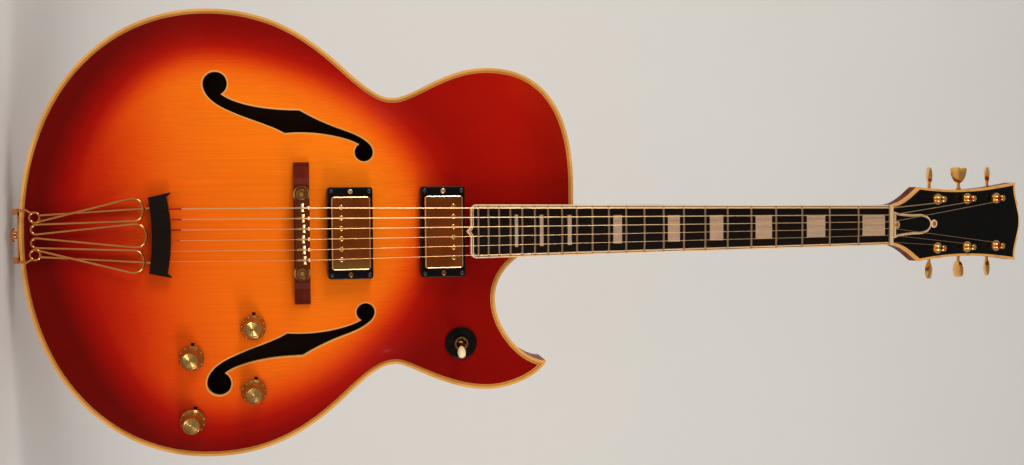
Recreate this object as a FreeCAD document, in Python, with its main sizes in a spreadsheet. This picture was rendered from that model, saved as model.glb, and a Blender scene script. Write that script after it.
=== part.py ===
import FreeCAD, Part
import math
import os
import Sketcher

# Hollow-bodied archtop guitar, stood upright on its end pin.
# Millimetres. +Z runs from the tail to the head, the front faces -Y and +X is the treble side.
# The origin is where the end pin leaves the tail, half way through the body's depth.

Vec = FreeCAD.Vector
Rotation = FreeCAD.Rotation
Placement = FreeCAD.Placement

doc = FreeCAD.newDocument("archtop_guitar")
sheet = doc.addObject("Spreadsheet::Sheet", "dims")

driving = {
    # body plan
    "body_length": 533, "body_depth": 57.2,
    "lower_bout": 432, "lower_bout_z": 178,
    "waist": 261, "waist_z": 354.5,
    "upper_bout_bass": 159.9, "upper_bout_treble": 157.7, "upper_bout_z": 447,
    "shoulder_x": 44, "heel_side_x": 24.5, "heel_side_z": 480,
    "horn_x": 131.3, "horn_z": 505, "cutaway_x": 67, "cutaway_z": 453.6,
    # plates and sides
    "edge_thickness": 6, "arch_top": 20, "arch_back": 15, "rim_wall": 2.5,
    "lining_width": 6.5, "lining_height": 14, "binding_width": 4.7, "arch_step": 9,
    "bar_width": 8, "bar_height": 11, "bar_spread": 52, "bar_from": 95, "bar_length": 350,
    "neck_block_length": 50, "neck_block_width": 56, "tail_block_length": 28, "tail_block_width": 64,
    # sound holes
    "big_eye_x": 143.4, "big_eye_z": 185, "big_eye_radius": 11.5,
    "small_eye_x": 77.4, "small_eye_z": 325.4, "small_eye_radius": 8.8, "hole_edging": 1.3,
    # strings and scale
    "scale_length": 597, "saddle_z": 267.9, "saddle_height": 43.4, "string_pitch": 4.2,
    "string_spread": 49.6, "nut_spread": 35, "camber_radius": 305, "fret_count": 22,
    # neck
    "nut_width": 41.3, "board_end_width": 52.3, "board_thickness": 6, "board_pitch": 3.94,
    "nut_board_height": -2.3, "board_end_z": 427.3, "board_tip": 3.9, "nut_length": 3.8,
    "neck_depth_nut": 14.5, "neck_depth_heel": 17, "tenon_width": 32, "tenon_length": 45,
    "tenon_depth": 14, "heel_cap": 2.2, "truss_radius": 2.4, "truss_drop": 13,
    "fret_width": 2.1, "fret_crown": 1.1, "fret_tang": 0.6, "fret_tang_depth": 1.7, "inlay_depth": 0.9,
    # head
    "head_pitch": 17, "head_thickness": 15, "veneer": 1.6, "head_shoulder": 77.3, "head_waist": 70.8,
    "head_crest": 84, "head_length": 180, "head_edging": 2.4,
    "post_first": 64, "post_step": 43, "post_spread": 51.4, "post_radius": 3.1, "post_rise": 11.5,
    "bushing_radius": 5.8, "bushing_bore": 3.18, "worm_offset": 9, "worm_drop": 20.5, "wheel_radius": 6.5,
    "worm_radius": 2.35, "key_shaft": 1.7, "button_width": 17, "button_length": 17, "button_thick": 6.4,
    "button_start": 42.5, "housing_across": 17.6, "housing_along": 21.6, "housing_height": 11.4, "wall": 1.2,
    # bridge
    "bridge_z": 265.5, "base_half": 68, "base_width": 15, "base_top": 27.2, "post_gap": 75,
    "bridge_post": 2, "bridge_post_top": 41.6, "wheel_dia": 15.6, "wheel_thick": 3, "wheel_low": 30.7,
    "bar_low": 34, "bar_tall": 6.6, "bar_half": 45, "bar_wide": 12, "slot_half": 32.5, "slot_wide": 9.2,
    "slot_floor": 35.6, "saddle_wide": 7.8, "saddle_long": 3, "saddle_clear": 0.5, "saddle_screw": 1.2,
    # pickups
    "ring_length": 88, "ring_width": 43, "ring_wall_end": 8.3, "ring_wall_side": 2.6, "ring_bridge_z": 311.9,
    "ring_neck_z": 401.2, "cover_length": 70.4, "cover_width": 37.2, "cover_tall": 17, "cover_skin": 0.6,
    "string_to_cover": 3.6, "cover_above_ring": 5, "pole_radius": 2.3, "pole_side": 9.2,
    # controls
    "knob_skirt": 12.2, "knob_waist": 9.4, "knob_top": 8.5, "knob_tall": 14.4, "knob_lift": 2.4,
    "shaft_radius": 2.95, "shaft_length": 13, "pot_radius": 12, "pot_tall": 9,
    "switch_ring": 15.6, "switch_ring_bore": 7.2, "switch_lean": 17, "switch_turn": 24, "lever_radius": 1.7,
    "lever_top": 17, "tip_radius": 4.1, "tip_tall": 15,
    # tail
    "rod_radius": 1.2, "tail_rise_low": 9, "tail_rise_high": 26.5, "tail_rod_far": 122, "tail_rod_near": 13,
    "block_thick": 9, "bracket_half": 25, "bracket_thick": 1.6, "pin_waist": 3.6, "pin_waist_length": 5.5,
    "jack_bore": 3.2, "jack_length": 19.6,
    # small gaps
    "gap": 0.15,
}
for row, (alias, size) in enumerate(driving.items(), 1):
    sheet.set("A%d" % row, alias)
    sheet.set("B%d" % row, str(size))
    sheet.setAlias("B%d" % row, alias)
doc.recompute()


def dim(alias):
    return float(sheet.get(alias))


pieces = []


def keep(piece, label):
    piece.Label = label
    pieces.append(piece)
    return piece


def feature(shape, label, place=None):
    piece = doc.addObject("Part::Feature", label + "_solid")
    piece.Shape = shape
    if place is not None:
        piece.Placement = place
    return keep(piece, label)


def bound(kind, name, place=None, **expressions):
    piece = doc.addObject(kind, name)
    for prop, text in expressions.items():
        piece.setExpression(prop, text.replace("$", "dims."))
    if place is not None:
        piece.Placement = place
    return piece


def joined(kind, name, base, tools):
    piece = doc.addObject("Part::" + kind, name)
    if kind == "Cut":
        piece.Base = base
        piece.Tool = tools
    else:
        piece.Shapes = [base] + tools
    return piece


# In a size written as text, $ stands before each name of the sheet
def worked_out(text):
    return float(sheet.evalExpression(text.replace("$", "")))


# Sketches whose corners are bound to the sheet
def profile_sketch(body, role, corners):
    sketch = body.newObject("Sketcher::SketchObject", body.Name + "_profile")
    plane = next(item for item in body.Origin.OriginFeatures if item.Role == role)
    sketch.AttachmentSupport = [(plane, "")]
    sketch.MapMode = "FlatFace"
    spots = [Vec(worked_out(u), worked_out(v), 0) for u, v in corners]
    count = len(spots)
    for i in range(count):
        sketch.addGeometry(Part.LineSegment(spots[i], spots[(i + 1) % count]), False)
    for i in range(count):
        sketch.addConstraint(Sketcher.Constraint("Coincident", i, 2, (i + 1) % count, 1))
    for i, corner in enumerate(corners):
        rows = (("DistanceX", -2, corner[0], spots[i].x), ("DistanceY", -1, corner[1], spots[i].y))
        for kind, axis, text, size in rows:
            if abs(size) < 1e-9:
                sketch.addConstraint(Sketcher.Constraint("PointOnObject", i, 1, axis))
            else:
                index = sketch.addConstraint(Sketcher.Constraint(kind, -1, 1, i, 1, size))
                sketch.setExpression("Constraints[%d]" % index, text.replace("$", "dims."))
    return sketch


def turned(name, corners, place):
    body = doc.addObject("PartDesign::Body", name)
    sketch = profile_sketch(body, "XZ_Plane", corners)
    turn = body.newObject("PartDesign::Revolution", name + "_turn")
    turn.Profile = sketch
    turn.ReferenceAxis = (sketch, ["V_Axis"])
    turn.Angle = 360
    body.Tip = turn
    body.Placement = place
    return body


# Curves in the body's plan, drawn in the XZ plane
def curve_arcs(points):
    curve = Part.BezierCurve()
    curve.setPoles([Vec(x, 0, z) for x, z in points])
    spline = curve.toBSpline()
    middle = (spline.FirstParameter + spline.LastParameter) / 2
    edges = []
    for start, end in ((spline.FirstParameter, middle), (middle, spline.LastParameter)):
        half = spline.copy()
        half.segment(start, end)
        edges += [arc.toShape() for arc in half.toBiArcs(0.1)]
    return edges


def straight(start, end):
    return Part.LineSegment(Vec(start[0], 0, start[1]), Vec(end[0], 0, end[1])).toShape()


def loop(edges):
    return Part.Wire(Part.__sortEdges__(edges))


def prism(wire, front, back):
    flat = Part.Face(wire)
    flat.translate(Vec(0, front, 0))
    return flat.extrude(Vec(0, back - front, 0))


def inset(wire, distance):
    return wire.makeOffset2D(-distance, 0, False, False) if distance else wire


def band(wire, outer, inner, front, back):
    return prism(inset(wire, outer), front, back).cut(prism(inset(wire, inner), front - 1, back + 1))


half_depth = dim("body_depth") / 2
edge = dim("edge_thickness")
lower = (dim("lower_bout") / 2, dim("lower_bout_z"))
waist = (dim("waist") / 2, dim("waist_z"))
bass_bout = (dim("upper_bout_bass"), dim("upper_bout_z"))
treble_bout = (dim("upper_bout_treble"), dim("upper_bout_z"))
shoulder = (-dim("shoulder_x"), dim("body_length"))
heel_corner = (dim("heel_side_x"), dim("body_length"))
heel_side = (dim("heel_side_x"), dim("heel_side_z"))
horn = (dim("horn_x"), dim("horn_z"))
cutaway = (dim("cutaway_x"), dim("cutaway_z"))


# Handle lengths that set how full each stretch of the outline is
def bout_side(sign):
    widest = (sign * lower[0], lower[1])
    narrow = (sign * waist[0], waist[1])
    low = curve_arcs([(0, 0), (sign * 132, 0), (widest[0], widest[1] - 101), widest])
    high = curve_arcs([widest, (widest[0], widest[1] + 108), (narrow[0], narrow[1] - 39), narrow])
    return low + high


def body_outline():
    edges = bout_side(-1) + bout_side(1)
    edges += curve_arcs([(-waist[0], waist[1]), (-waist[0], waist[1] + 21),
                         (-bass_bout[0], bass_bout[1] - 43), (-bass_bout[0], bass_bout[1])])
    edges += curve_arcs([(-bass_bout[0], bass_bout[1]), (-bass_bout[0], bass_bout[1] + 61),
                         (shoulder[0] - 69, shoulder[1]), shoulder])
    edges += [straight(shoulder, heel_corner), straight(heel_corner, heel_side)]
    edges += curve_arcs([heel_side, (heel_side[0] + 11.5, heel_side[1] - 16.4), (cutaway[0] - 17, cutaway[1]),
                         cutaway])
    edges += curve_arcs([cutaway, (cutaway[0] + 32.4, cutaway[1]), (horn[0], horn[1] - 22.4), horn])
    edges += curve_arcs([horn, (horn[0] + 16.7, horn[1] - 9.7),
                         (treble_bout[0], treble_bout[1] + 19), treble_bout])
    edges += curve_arcs([treble_bout, (treble_bout[0], treble_bout[1] - 44),
                         (waist[0], waist[1] + 16), waist])
    return loop(edges)


outline = body_outline()
corner_points = outline.discretize(Distance=4)


# The carved arch is a membrane blown up over the outline, flattened towards its edge
def inside_outline(x, z):
    crossings = 0
    last = corner_points[-1]
    for here in corner_points:
        if (here.z > z) != (last.z > z):
            if x < here.x + (z - here.z) * (last.x - here.x) / (last.z - here.z):
                crossings += 1
        last = here
    return crossings % 2 == 1


def reach_to_edge(x, z, dx, dz, step):
    low, high = 0.0, 1.0
    for halving in range(7):
        middle = (low + high) / 2
        if inside_outline(x + dx * step * middle, z + dz * step * middle):
            low = middle
        else:
            high = middle
    return max(low, 0.05) * step


def membrane():
    step = dim("arch_step")
    columns = [step * i for i in range(-26, 27)]
    rows = [step * i for i in range(-2, 63)]
    height = {(i, j): 0.0 for i in range(len(columns)) for j in range(len(rows))}
    within = [key for key in height if inside_outline(columns[key[0]], rows[key[1]])]
    within_set = set(within)
    balance = []
    for i, j in within:
        reach = []
        for di, dj in ((1, 0), (-1, 0), (0, 1), (0, -1)):
            free = (i + di, j + dj) in within_set
            reach.append(step if free else reach_to_edge(columns[i], rows[j], di, dj, step))
        across, along = reach[0] + reach[1], reach[2] + reach[3]
        pulls = [2 / (reach[side] * (across if side < 2 else along)) for side in range(4)]
        others = [(i + 1, j), (i - 1, j), (i, j + 1), (i, j - 1)]
        held = [(other, pull) for other, pull in zip(others, pulls) if other in within_set]
        balance.append(((i, j), held, sum(pulls)))
    for sweep in range(220):
        for key, held, total in balance:
            level = (1 + sum(height[other] * pull for other, pull in held)) / total
            height[key] += 1.85 * (level - height[key])
    top = max(height.values())
    return columns, rows, {key: level / top for key, level in height.items()}


columns, rows, blown = membrane()


# A face over the whole plan that rises to the given arch in front (-1) or behind (+1)
def arch_face(arch, side):
    points = []
    for i in range(0, len(columns), 2):
        line = []
        for j in range(0, len(rows), 2):
            rise = arch * math.sin(math.pi / 2 * max(blown[(i, j)], 0)) ** 1.25
            line.append(Vec(columns[i], side * (half_depth + rise), rows[j]))
        points.append(line)
    surface = Part.BSplineSurface()
    surface.interpolate(points)
    return surface.toShape()


top_face = arch_face(dim("arch_top"), -1)
back_face = arch_face(dim("arch_back"), 1)
depth = Vec(0, dim("body_depth") * 2, 0)


# Everything behind a shifted copy of the top's face, used to trim what sits on or under the top
def behind_top(shift):
    face = top_face.copy()
    face.translate(Vec(0, shift, 0))
    return face.extrude(depth)


def before_back(shift):
    face = back_face.copy()
    face.translate(Vec(0, shift, 0))
    return face.extrude(depth * -1)


# The point and outward direction of the top at a place in the plan
def on_top(x, z):
    def level(px, pz):
        needle = Part.makeLine(Vec(px, -4 * half_depth, pz), Vec(px, 0, pz))
        return top_face.distToShape(needle)[1][0][0].y
    reach = 3
    slope_x = (level(x + reach, z) - level(x - reach, z)) / (2 * reach)
    slope_z = (level(x, z + reach) - level(x, z - reach)) / (2 * reach)
    return Vec(x, level(x, z), z), Vec(slope_x, -1, slope_z).normalize()


# A point on a sound hole's round end, and the arc from one such point on to another, by angles from +X
def on_eye(spot, radius, angle):
    turn = math.radians(angle)
    return spot[0] + radius * math.cos(turn), spot[1] + radius * math.sin(turn)


def eye_arc(spot, radius, first, last):
    ends = [on_eye(spot, radius, angle) for angle in (first, (first + last) / 2, last)]
    return Part.Arc(*[Vec(x, 0, z) for x, z in ends]).toShape()


# Sound holes: an S-shaped stem with a nick half way along each edge, hooked round a big and a small eye
def sound_hole(sign, grow):
    big, big_radius = (dim("big_eye_x"), dim("big_eye_z")), dim("big_eye_radius")
    small, small_radius = (dim("small_eye_x"), dim("small_eye_z")), dim("small_eye_radius")
    low_nick, high_nick, tail_bend, neck_bend = (96, 250.3), (118, 264.4), (114, 206.5), (98.9, 305.9)
    edges = curve_arcs([low_nick, (103.5, 237.7), (108.2, 220.3), tail_bend])
    edges += curve_arcs([tail_bend, (120.9, 189.9), (128.1, 175.2), on_eye(big, big_radius, -97)])
    edges.append(eye_arc(big, big_radius, -97, 151))
    edges += curve_arcs([on_eye(big, big_radius, 151), (122.5, 204.5), (117.8, 236), high_nick])
    edges += curve_arcs([high_nick, (110.7, 276.4), (103.7, 291.7), neck_bend])
    edges += curve_arcs([neck_bend, (94.7, 318.2), (88.3, 332.3), on_eye(small, small_radius, 79.5)])
    edges.append(eye_arc(small, small_radius, 79.5, 332))
    edges += curve_arcs([on_eye(small, small_radius, 332), (93.8, 305), (98.6, 276), low_nick])
    wire = loop(edges)
    if grow:
        wire = wire.makeOffset2D(grow, 0, False, False)
    shape = prism(wire, -3 * half_depth, 0)
    return shape.mirror(Vec(0, 0, 0), Vec(1, 0, 0)) if sign < 0 else shape


def placed(shape, place):
    copy = shape.copy()
    copy.Placement = place.multiply(copy.Placement)
    return copy


def box_between(low, high):
    return Part.makeBox(high[0] - low[0], high[1] - low[1], high[2] - low[2], Vec(*low))


knob_spots = [(89.2, 218.2), (117.4, 159.8), (151.4, 217.6), (179.2, 159.4)]
switch_spot = (110.6, 418.9)
tenon_half = dim("tenon_width") / 2
tenon_end = dim("body_length") - dim("tenon_length")
tenon = box_between((-tenon_half, -2 * half_depth, tenon_end),
                    (tenon_half, dim("tenon_depth"), dim("body_length")))


# A control's frame: its origin on the top, local +Z straight out of it
def stand_on_top(x, z):
    spot, out = on_top(x, z)
    return Placement(spot, Rotation(Vec(0, 0, 1), out))


pot_places = [stand_on_top(*spot) for spot in knob_spots]
switch_place = stand_on_top(*switch_spot)
string_tilt = Rotation(Vec(1, 0, 0), -dim("string_pitch"))


def string_level(z):
    return dim("saddle_height") - (z - dim("saddle_z")) * math.tan(math.radians(dim("string_pitch")))


# A pickup's frame: its middle in the plan, its cover's top under the strings, square to them
def pickup_place(z):
    return Placement(Vec(0, -half_depth - string_level(z) + dim("string_to_cover"), z), string_tilt)


ring_corners = [(x, z) for x in (-40, 40) for z in (-18, 18)]
pickup_places = [pickup_place(dim("ring_bridge_z")), pickup_place(dim("ring_neck_z"))]


def top_plate():
    slab = top_face.extrude(Vec(0, edge, 0))
    plate = slab.common(prism(inset(outline, dim("binding_width")), -3 * half_depth, 0))
    cuts = [sound_hole(sign, dim("hole_edging")) for sign in (-1, 1)]
    cuts.append(tenon)
    route = dim("cover_length") / 2 + 1.4
    side = dim("cover_width") / 2 + 0.8
    tabs = dim("ring_length") / 2 - 1.5
    for place in pickup_places:
        openings = [box_between((-across, -5, -along), (across, 60, along))
                    for across, along in ((route, side), (tabs, 6))]
        openings += [Part.makeCylinder(1.1, 60, Vec(x, -5, z), Vec(0, 1, 0)) for x, z in ring_corners]
        cuts += [placed(opening, place) for opening in openings]
    for place, radius in [(place, 3.8) for place in pot_places] + [(switch_place, 6.1)]:
        cuts.append(placed(Part.makeCylinder(radius, 40, Vec(0, 0, -25)), place))
    for cut in cuts:
        plate = plate.cut(cut)
    return plate, slab


top_shape, top_slab = top_plate()
feature(top_shape, "top_plate")
back_slab = back_face.extrude(Vec(0, -edge, 0))
feature(back_slab.common(prism(inset(outline, dim("binding_width")), 0, 3 * half_depth)), "back_plate")

# Edge binding: cream plies with dark lines between them, on both faces of the rim
cream_plies = [(0, 2.5), (3.0, 3.5), (4.0, 4.7)]
dark_plies = [(2.5, 3.0), (3.5, 4.0)]


def plies(spans, front, back):
    return [band(outline, start, end, front, back).cut(tenon) for start, end in spans]


front_edge = (-half_depth, -half_depth + edge)
back_edge = (half_depth - edge, half_depth)
hole_edging = [top_slab.common(sound_hole(sign, dim("hole_edging")).cut(sound_hole(sign, 0)))
               for sign in (-1, 1)]
feature(Part.makeCompound(plies(cream_plies, *front_edge) + hole_edging), "top_binding")
feature(Part.makeCompound(plies(cream_plies, *back_edge)), "back_binding")
feature(Part.makeCompound(plies(dark_plies, *front_edge) + plies(dark_plies, *back_edge)), "purfling")

# Sides, linings and the blocks that join them
rim_back = half_depth - edge
bracket_screws = [(-16, -14), (16, -14), (0, 9.5)]
bracket_bores = [Part.makeCylinder(1.5, 22, Vec(x, y, -6), Vec(0, 0, 1)) for x, y in bracket_screws]
jack_spot = Vec(lower[0], 0, lower[1])
jack_hole = Part.makeCylinder(4.8, 30, jack_spot - Vec(15, 0, 0), Vec(1, 0, 0))
pin_hole = Part.makeCylinder(2.5, 60, Vec(0, 0, -10), Vec(0, 0, 1))
rim = band(outline, 0, dim("rim_wall"), -rim_back, rim_back)
rim_holes = [tenon, jack_hole, pin_hole] + bracket_bores
for hole in rim_holes:
    rim = rim.cut(hole)
feature(rim, "rim")

cavity = prism(inset(outline, dim("rim_wall")), -2 * half_depth, 2 * half_depth)
cavity = cavity.common(behind_top(edge)).common(before_back(-edge))
neck_block_top = dim("body_length") - dim("rim_wall")
neck_block = box_between((heel_side[0] - dim("rim_wall") - dim("neck_block_width"), -rim_back,
                          neck_block_top - dim("neck_block_length")),
                         (heel_side[0] - dim("rim_wall"), rim_back, neck_block_top))
tail_half = dim("tail_block_width") / 2
tail_block = box_between((-tail_half, -rim_back, 0), (tail_half, rim_back, dim("tail_block_length")))
tail_wood = tail_block.common(cavity)
for hole in [pin_hole] + bracket_bores:
    tail_wood = tail_wood.cut(hole)
feature(Part.makeCompound([neck_block.common(cavity).cut(tenon), tail_wood]), "end_blocks")

lining_out = dim("rim_wall")
lining_in = lining_out + dim("lining_width")
lining_tall = dim("lining_height")
linings = []
for front in (-rim_back, rim_back - lining_tall):
    strip = band(outline, lining_out, lining_in, front, front + lining_tall)
    linings.append(strip.common(cavity).cut(neck_block).cut(tail_block).cut(tenon))
feature(Part.makeCompound(linings), "linings")


# Two tone bars run along under the top, splayed towards the tail
def tone_bar(sign):
    length, width = dim("bar_length"), dim("bar_width")
    bar = box_between((-width / 2, -2 * half_depth, 0), (width / 2, half_depth, length))
    lean = Rotation(Vec(0, 1, 0), -sign * 2.0)
    bar.Placement = Placement(Vec(sign * dim("bar_spread"), 0, dim("bar_from")), lean)
    bar = bar.common(behind_top(edge)).cut(behind_top(edge + dim("bar_height")))
    for place in pickup_places:
        clear = dim("ring_length") / 2
        cut = box_between((-clear, -5, -clear / 2 - 2), (clear, 60, clear / 2 + 2))
        cut.Placement = place
        bar = bar.cut(cut)
    return bar


feature(Part.makeCompound([tone_bar(sign) for sign in (-1, 1)]), "tone_bars")


# The neck's frame: the nut's edge on the playing surface, with local -Z running down to the body
nut_z = dim("saddle_z") + dim("scale_length") * math.cos(math.radians(dim("string_pitch")))
neck_place = Placement(Vec(0, -half_depth - dim("nut_board_height"), nut_z),
                       Rotation(Vec(1, 0, 0), -dim("board_pitch")))
head_place = neck_place.multiply(Placement(Vec(0, 2, dim("nut_length")),
                                           Rotation(Vec(1, 0, 0), -dim("head_pitch"))))
pitch_cosine = math.cos(math.radians(dim("board_pitch")))
board_length = (nut_z - dim("board_end_z")) / pitch_cosine
camber = dim("camber_radius")
board_thick = dim("board_thickness")


def board_half(z):
    return (dim("nut_width") - (dim("board_end_width") - dim("nut_width")) * z / board_length) / 2


def fret_z(number):
    return -dim("scale_length") * (1 - 2 ** (-number / 12))


# The board's plan has rounded corners and a small pointed middle at the body end
def board_outline():
    beyond, corner, tip_half = 10, 6, 7
    end = -board_length
    wide = board_half(end)
    edges = [straight((-board_half(beyond), beyond), (board_half(beyond), beyond))]
    for sign in (-1, 1):
        edges.append(straight((sign * board_half(beyond), beyond), (sign * wide, end + corner)))
        edges += curve_arcs([(sign * wide, end + corner), (sign * wide, end + corner * 0.45),
                             (sign * (wide - corner * 0.55), end), (sign * (wide - corner), end)])
        edges.append(straight((sign * (wide - corner), end), (sign * tip_half, end)))
        edges += curve_arcs([(sign * tip_half, end), (sign * 3, end), (sign * 2.2, end - 2.6),
                             (0, end - dim("board_tip"))])
    return loop(edges)


def camber_rod(drop):
    start = Vec(0, camber, -board_length - 30)
    return Part.makeCylinder(camber - drop, board_length + 60, start, Vec(0, 0, 1))


def to_nut(shape):
    return shape.common(box_between((-60, -10, -board_length - 30), (60, 30, 0)))


board_wire = board_outline()
outer_ply, inner_ply = [to_nut(band(board_wire, start, end, -1, board_thick).common(camber_rod(0)))
                        for start, end in ((0, 1.3), (2.0, 2.8))]


# A fret is a low crown on a thin tang, bent to the board's camber
def fret(number):
    half_wide, crown, tang = dim("fret_width") / 2, dim("fret_crown"), dim("fret_tang") / 2
    z = fret_z(number)
    top = Part.Arc(Vec(0, 0, z - half_wide), Vec(0, -crown, z), Vec(0, 0, z + half_wide)).toShape()
    deep = dim("fret_tang_depth")
    spots = [Vec(0, 0, z + half_wide), Vec(0, 0, z + tang), Vec(0, deep, z + tang), Vec(0, deep, z - tang),
             Vec(0, 0, z - tang), Vec(0, 0, z - half_wide)]
    sides = [Part.LineSegment(a, b).toShape() for a, b in zip(spots, spots[1:])]
    face = Part.Face(Part.Wire([top] + sides))
    turn = 2 * math.degrees(math.asin((board_half(z) - 1.3) / camber))
    face.rotate(Vec(0, camber, 0), Vec(0, 0, 1), -turn / 2)
    return face.revolve(Vec(0, camber, 0), Vec(0, 0, 1), turn)


frets = [fret(number) for number in range(1, int(dim("fret_count")) + 1)]

# Pearl blocks: the share of its fret space that each one fills, by fret number
inlay_share = {1: 0.74, 3: 0.67, 5: 0.66, 7: 0.6, 9: 0.59, 12: 0.5, 15: 0.27, 17: 0.27, 19: 0.27}


def inlay(number, share):
    low, high = fret_z(number), fret_z(number - 1)
    middle, half = (low + high) / 2, (high - low) * share / 2
    across = board_half(middle) * (0.508 + 0.0056 * number)
    block = box_between((-across, -3, middle - half), (across, 4, middle + half))
    return block.common(camber_rod(0)).cut(camber_rod(dim("inlay_depth")))


inlays = [inlay(number, share) for number, share in inlay_share.items()]
board = to_nut(prism(board_wire, -1, board_thick).common(camber_rod(0)))
for cut in frets:
    inner_ply = inner_ply.cut(cut)
board_plies = [outer_ply, inner_ply]
for cut in board_plies + frets + inlays:
    board = board.cut(cut)
feature(board, "fingerboard", neck_place)
feature(Part.makeCompound(frets), "frets", neck_place)
feature(Part.makeCompound(inlays), "fret_inlays", neck_place)


# Head plan: a flared bell above the nut, drawn-in sides and a plain low crest
def head_outline():
    shoulder_half, waist_half = dim("head_shoulder") / 2, dim("head_waist") / 2
    crest_half, length = dim("head_crest") / 2, dim("head_length")
    neck_half = dim("nut_width") / 2
    edges = [straight((-neck_half, -6), (neck_half, -6))]
    for sign in (-1, 1):
        edges.append(straight((sign * neck_half, -6), (sign * neck_half, 0)))
        edges += curve_arcs([(sign * neck_half, 0), (sign * (neck_half + 1), 17),
                             (sign * (shoulder_half - 7), 28), (sign * shoulder_half, 39)])
        edges += curve_arcs([(sign * shoulder_half, 39), (sign * (waist_half - 1.6), 82),
                             (sign * (waist_half - 2), 122), (sign * crest_half, length)])
        edges += curve_arcs([(sign * crest_half, length), (sign * 27, length - 3),
                             (sign * 17, length + 8), (0, length + 8)])
    return loop(edges)


head_wire = head_outline()
head_edging = dim("head_edging")
post_spots = [(sign * dim("post_spread") / 2, dim("post_first") + dim("post_step") * step)
              for sign in (-1, 1) for step in range(3)]
head_ring = band(head_wire, 0, head_edging, 0, 3 * dim("veneer"))
above_nut = box_between((-60, -10, 2), (60, 40, 220))
post_holes = [Part.makeCylinder(4.4, 60, Vec(x, -20, z), Vec(0, 1, 0)) for x, z in post_spots]
rod_pocket = box_between((-5, -1, 10.6), (5, 11, 34))
cover_screws = [(0, 6.4), (0, 59)]
screw_bores = [Part.makeCylinder(1, 9.5, Vec(x, -4, z), Vec(0, 1, 0)) for x, z in cover_screws]


def bored(shape):
    for hole in post_holes + screw_bores + [rod_pocket]:
        shape = shape.cut(hole)
    return shape


veneer_plate = prism(inset(head_wire, head_edging), 0, dim("veneer")).common(above_nut)
feature(bored(veneer_plate), "headstock_veneer", head_place)
head_ring = head_ring.common(above_nut)


# Neck shaft sections: flat under the board, rounded behind
def neck_section(z, half_wide, top, deep):
    def round_side(sign):
        quarter = Part.BezierCurve()
        quarter.setPoles([Vec(sign * half_wide, top, z), Vec(sign * half_wide, top + 0.62 * deep, z),
                          Vec(sign * 0.6 * half_wide, top + deep, z), Vec(0, top + deep, z)])
        return quarter.toShape()
    flat = Part.LineSegment(Vec(-half_wide, top, z), Vec(half_wide, top, z)).toShape()
    return loop([flat, round_side(-1), round_side(1)])


# Heel sections: half ovals that stand out from the body's end and shrink towards the back
def heel_section(y, half_wide, reach):
    start = dim("body_length")
    edges = [Part.LineSegment(Vec(-half_wide, y, start), Vec(half_wide, y, start)).toShape()]
    for sign in (-1, 1):
        quarter = Part.BezierCurve()
        quarter.setPoles([Vec(sign * half_wide, y, start), Vec(sign * half_wide, y, start + 0.58 * reach),
                          Vec(sign * 0.58 * half_wide, y, start + reach), Vec(0, y, start + reach)])
        edges.append(quarter.toShape())
    return loop(edges)


def neck_shape():
    joint = -(nut_z - dim("body_length")) / pitch_cosine
    thin, thick = dim("neck_depth_nut"), dim("neck_depth_heel")
    sections = [(9, dim("nut_width") / 2, board_thick, thin - 1.6),
                (-12, board_half(-12), board_thick, thin),
                (joint / 2, board_half(joint / 2), board_thick, (thin + thick) / 2),
                (joint - 4, board_half(joint - 4), board_thick, thick)]
    shaft = placed(Part.makeLoft([neck_section(*section) for section in sections], True), neck_place)
    heel_levels = [(-36, 24, 76), (-20, 23, 42), (0, 20.5, 27), (14, 18, 22),
                   (half_depth - dim("heel_cap"), 15.5, 20)]
    heel = Part.makeLoft([heel_section(*level) for level in heel_levels], True)
    shaft = shaft.cut(prism(outline, -half_depth, 2 * half_depth))
    tongue_end = -board_length + 4
    side = [(board_half(joint) - 1, joint + 4), (board_half(tongue_end) - 1.2, tongue_end)]
    plan = loop([straight((-side[0][0], side[0][1]), (side[0][0], side[0][1])),
                 straight((side[0][0], side[0][1]), (side[1][0], side[1][1])),
                 straight((side[1][0], side[1][1]), (-side[1][0], side[1][1])),
                 straight((-side[1][0], side[1][1]), (-side[0][0], side[0][1]))])
    tongue = placed(prism(plan, board_thick, 40), neck_place).cut(behind_top(-dim("gap")))
    stub = tenon.common(box_between((-60, -half_depth - 12, 0), (60, half_depth, 600)))
    head = bored(prism(head_wire, 0, dim("head_thickness")))
    head = head.cut(prism(inset(head_wire, head_edging), -1, dim("veneer")).common(above_nut))
    neck = shaft.fuse([heel, tongue, stub, placed(head, head_place)])
    over_board = box_between((-60, -30, -board_length - 30), (60, board_thick, dim("nut_length")))
    channel = Part.makeCylinder(dim("truss_radius"), -joint + 2, Vec(0, dim("truss_drop"), joint + 12),
                                Vec(0, 0, 1))
    neck = neck.cut(placed(over_board, neck_place)).cut(placed(channel, neck_place))
    for cut in [head_ring, rod_pocket] + screw_bores:
        neck = neck.cut(placed(cut, head_place))
    return neck


feature(neck_shape(), "neck")
heel_cap = prism(heel_section(0, 15.5, 20), half_depth - dim("heel_cap"), half_depth)

# The truss rod lies in the neck, with its nut under the bell-shaped cover
rod_reach = (nut_z - dim("body_length")) / pitch_cosine - 12
truss = bound("Part::Cylinder", "truss_bar", Radius="$truss_radius", Height="%s + 14" % rod_reach)
truss.Placement = neck_place.multiply(Placement(Vec(0, dim("truss_drop"), -rod_reach), Rotation()))
keep(truss, "truss_rod")


def bell(shrink):
    edges = [straight((-13.8, 3), (13.8, 3))]
    for sign in (-1, 1):
        edges += curve_arcs([(sign * 13.8, 3), (sign * 11.4, 9), (sign * 10.4, 22), (sign * 10.4, 38)])
        edges += curve_arcs([(sign * 10.4, 38), (sign * 10.4, 49), (sign * 5.5, 55), (0, 55)])
    return inset(loop(edges), shrink)


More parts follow.
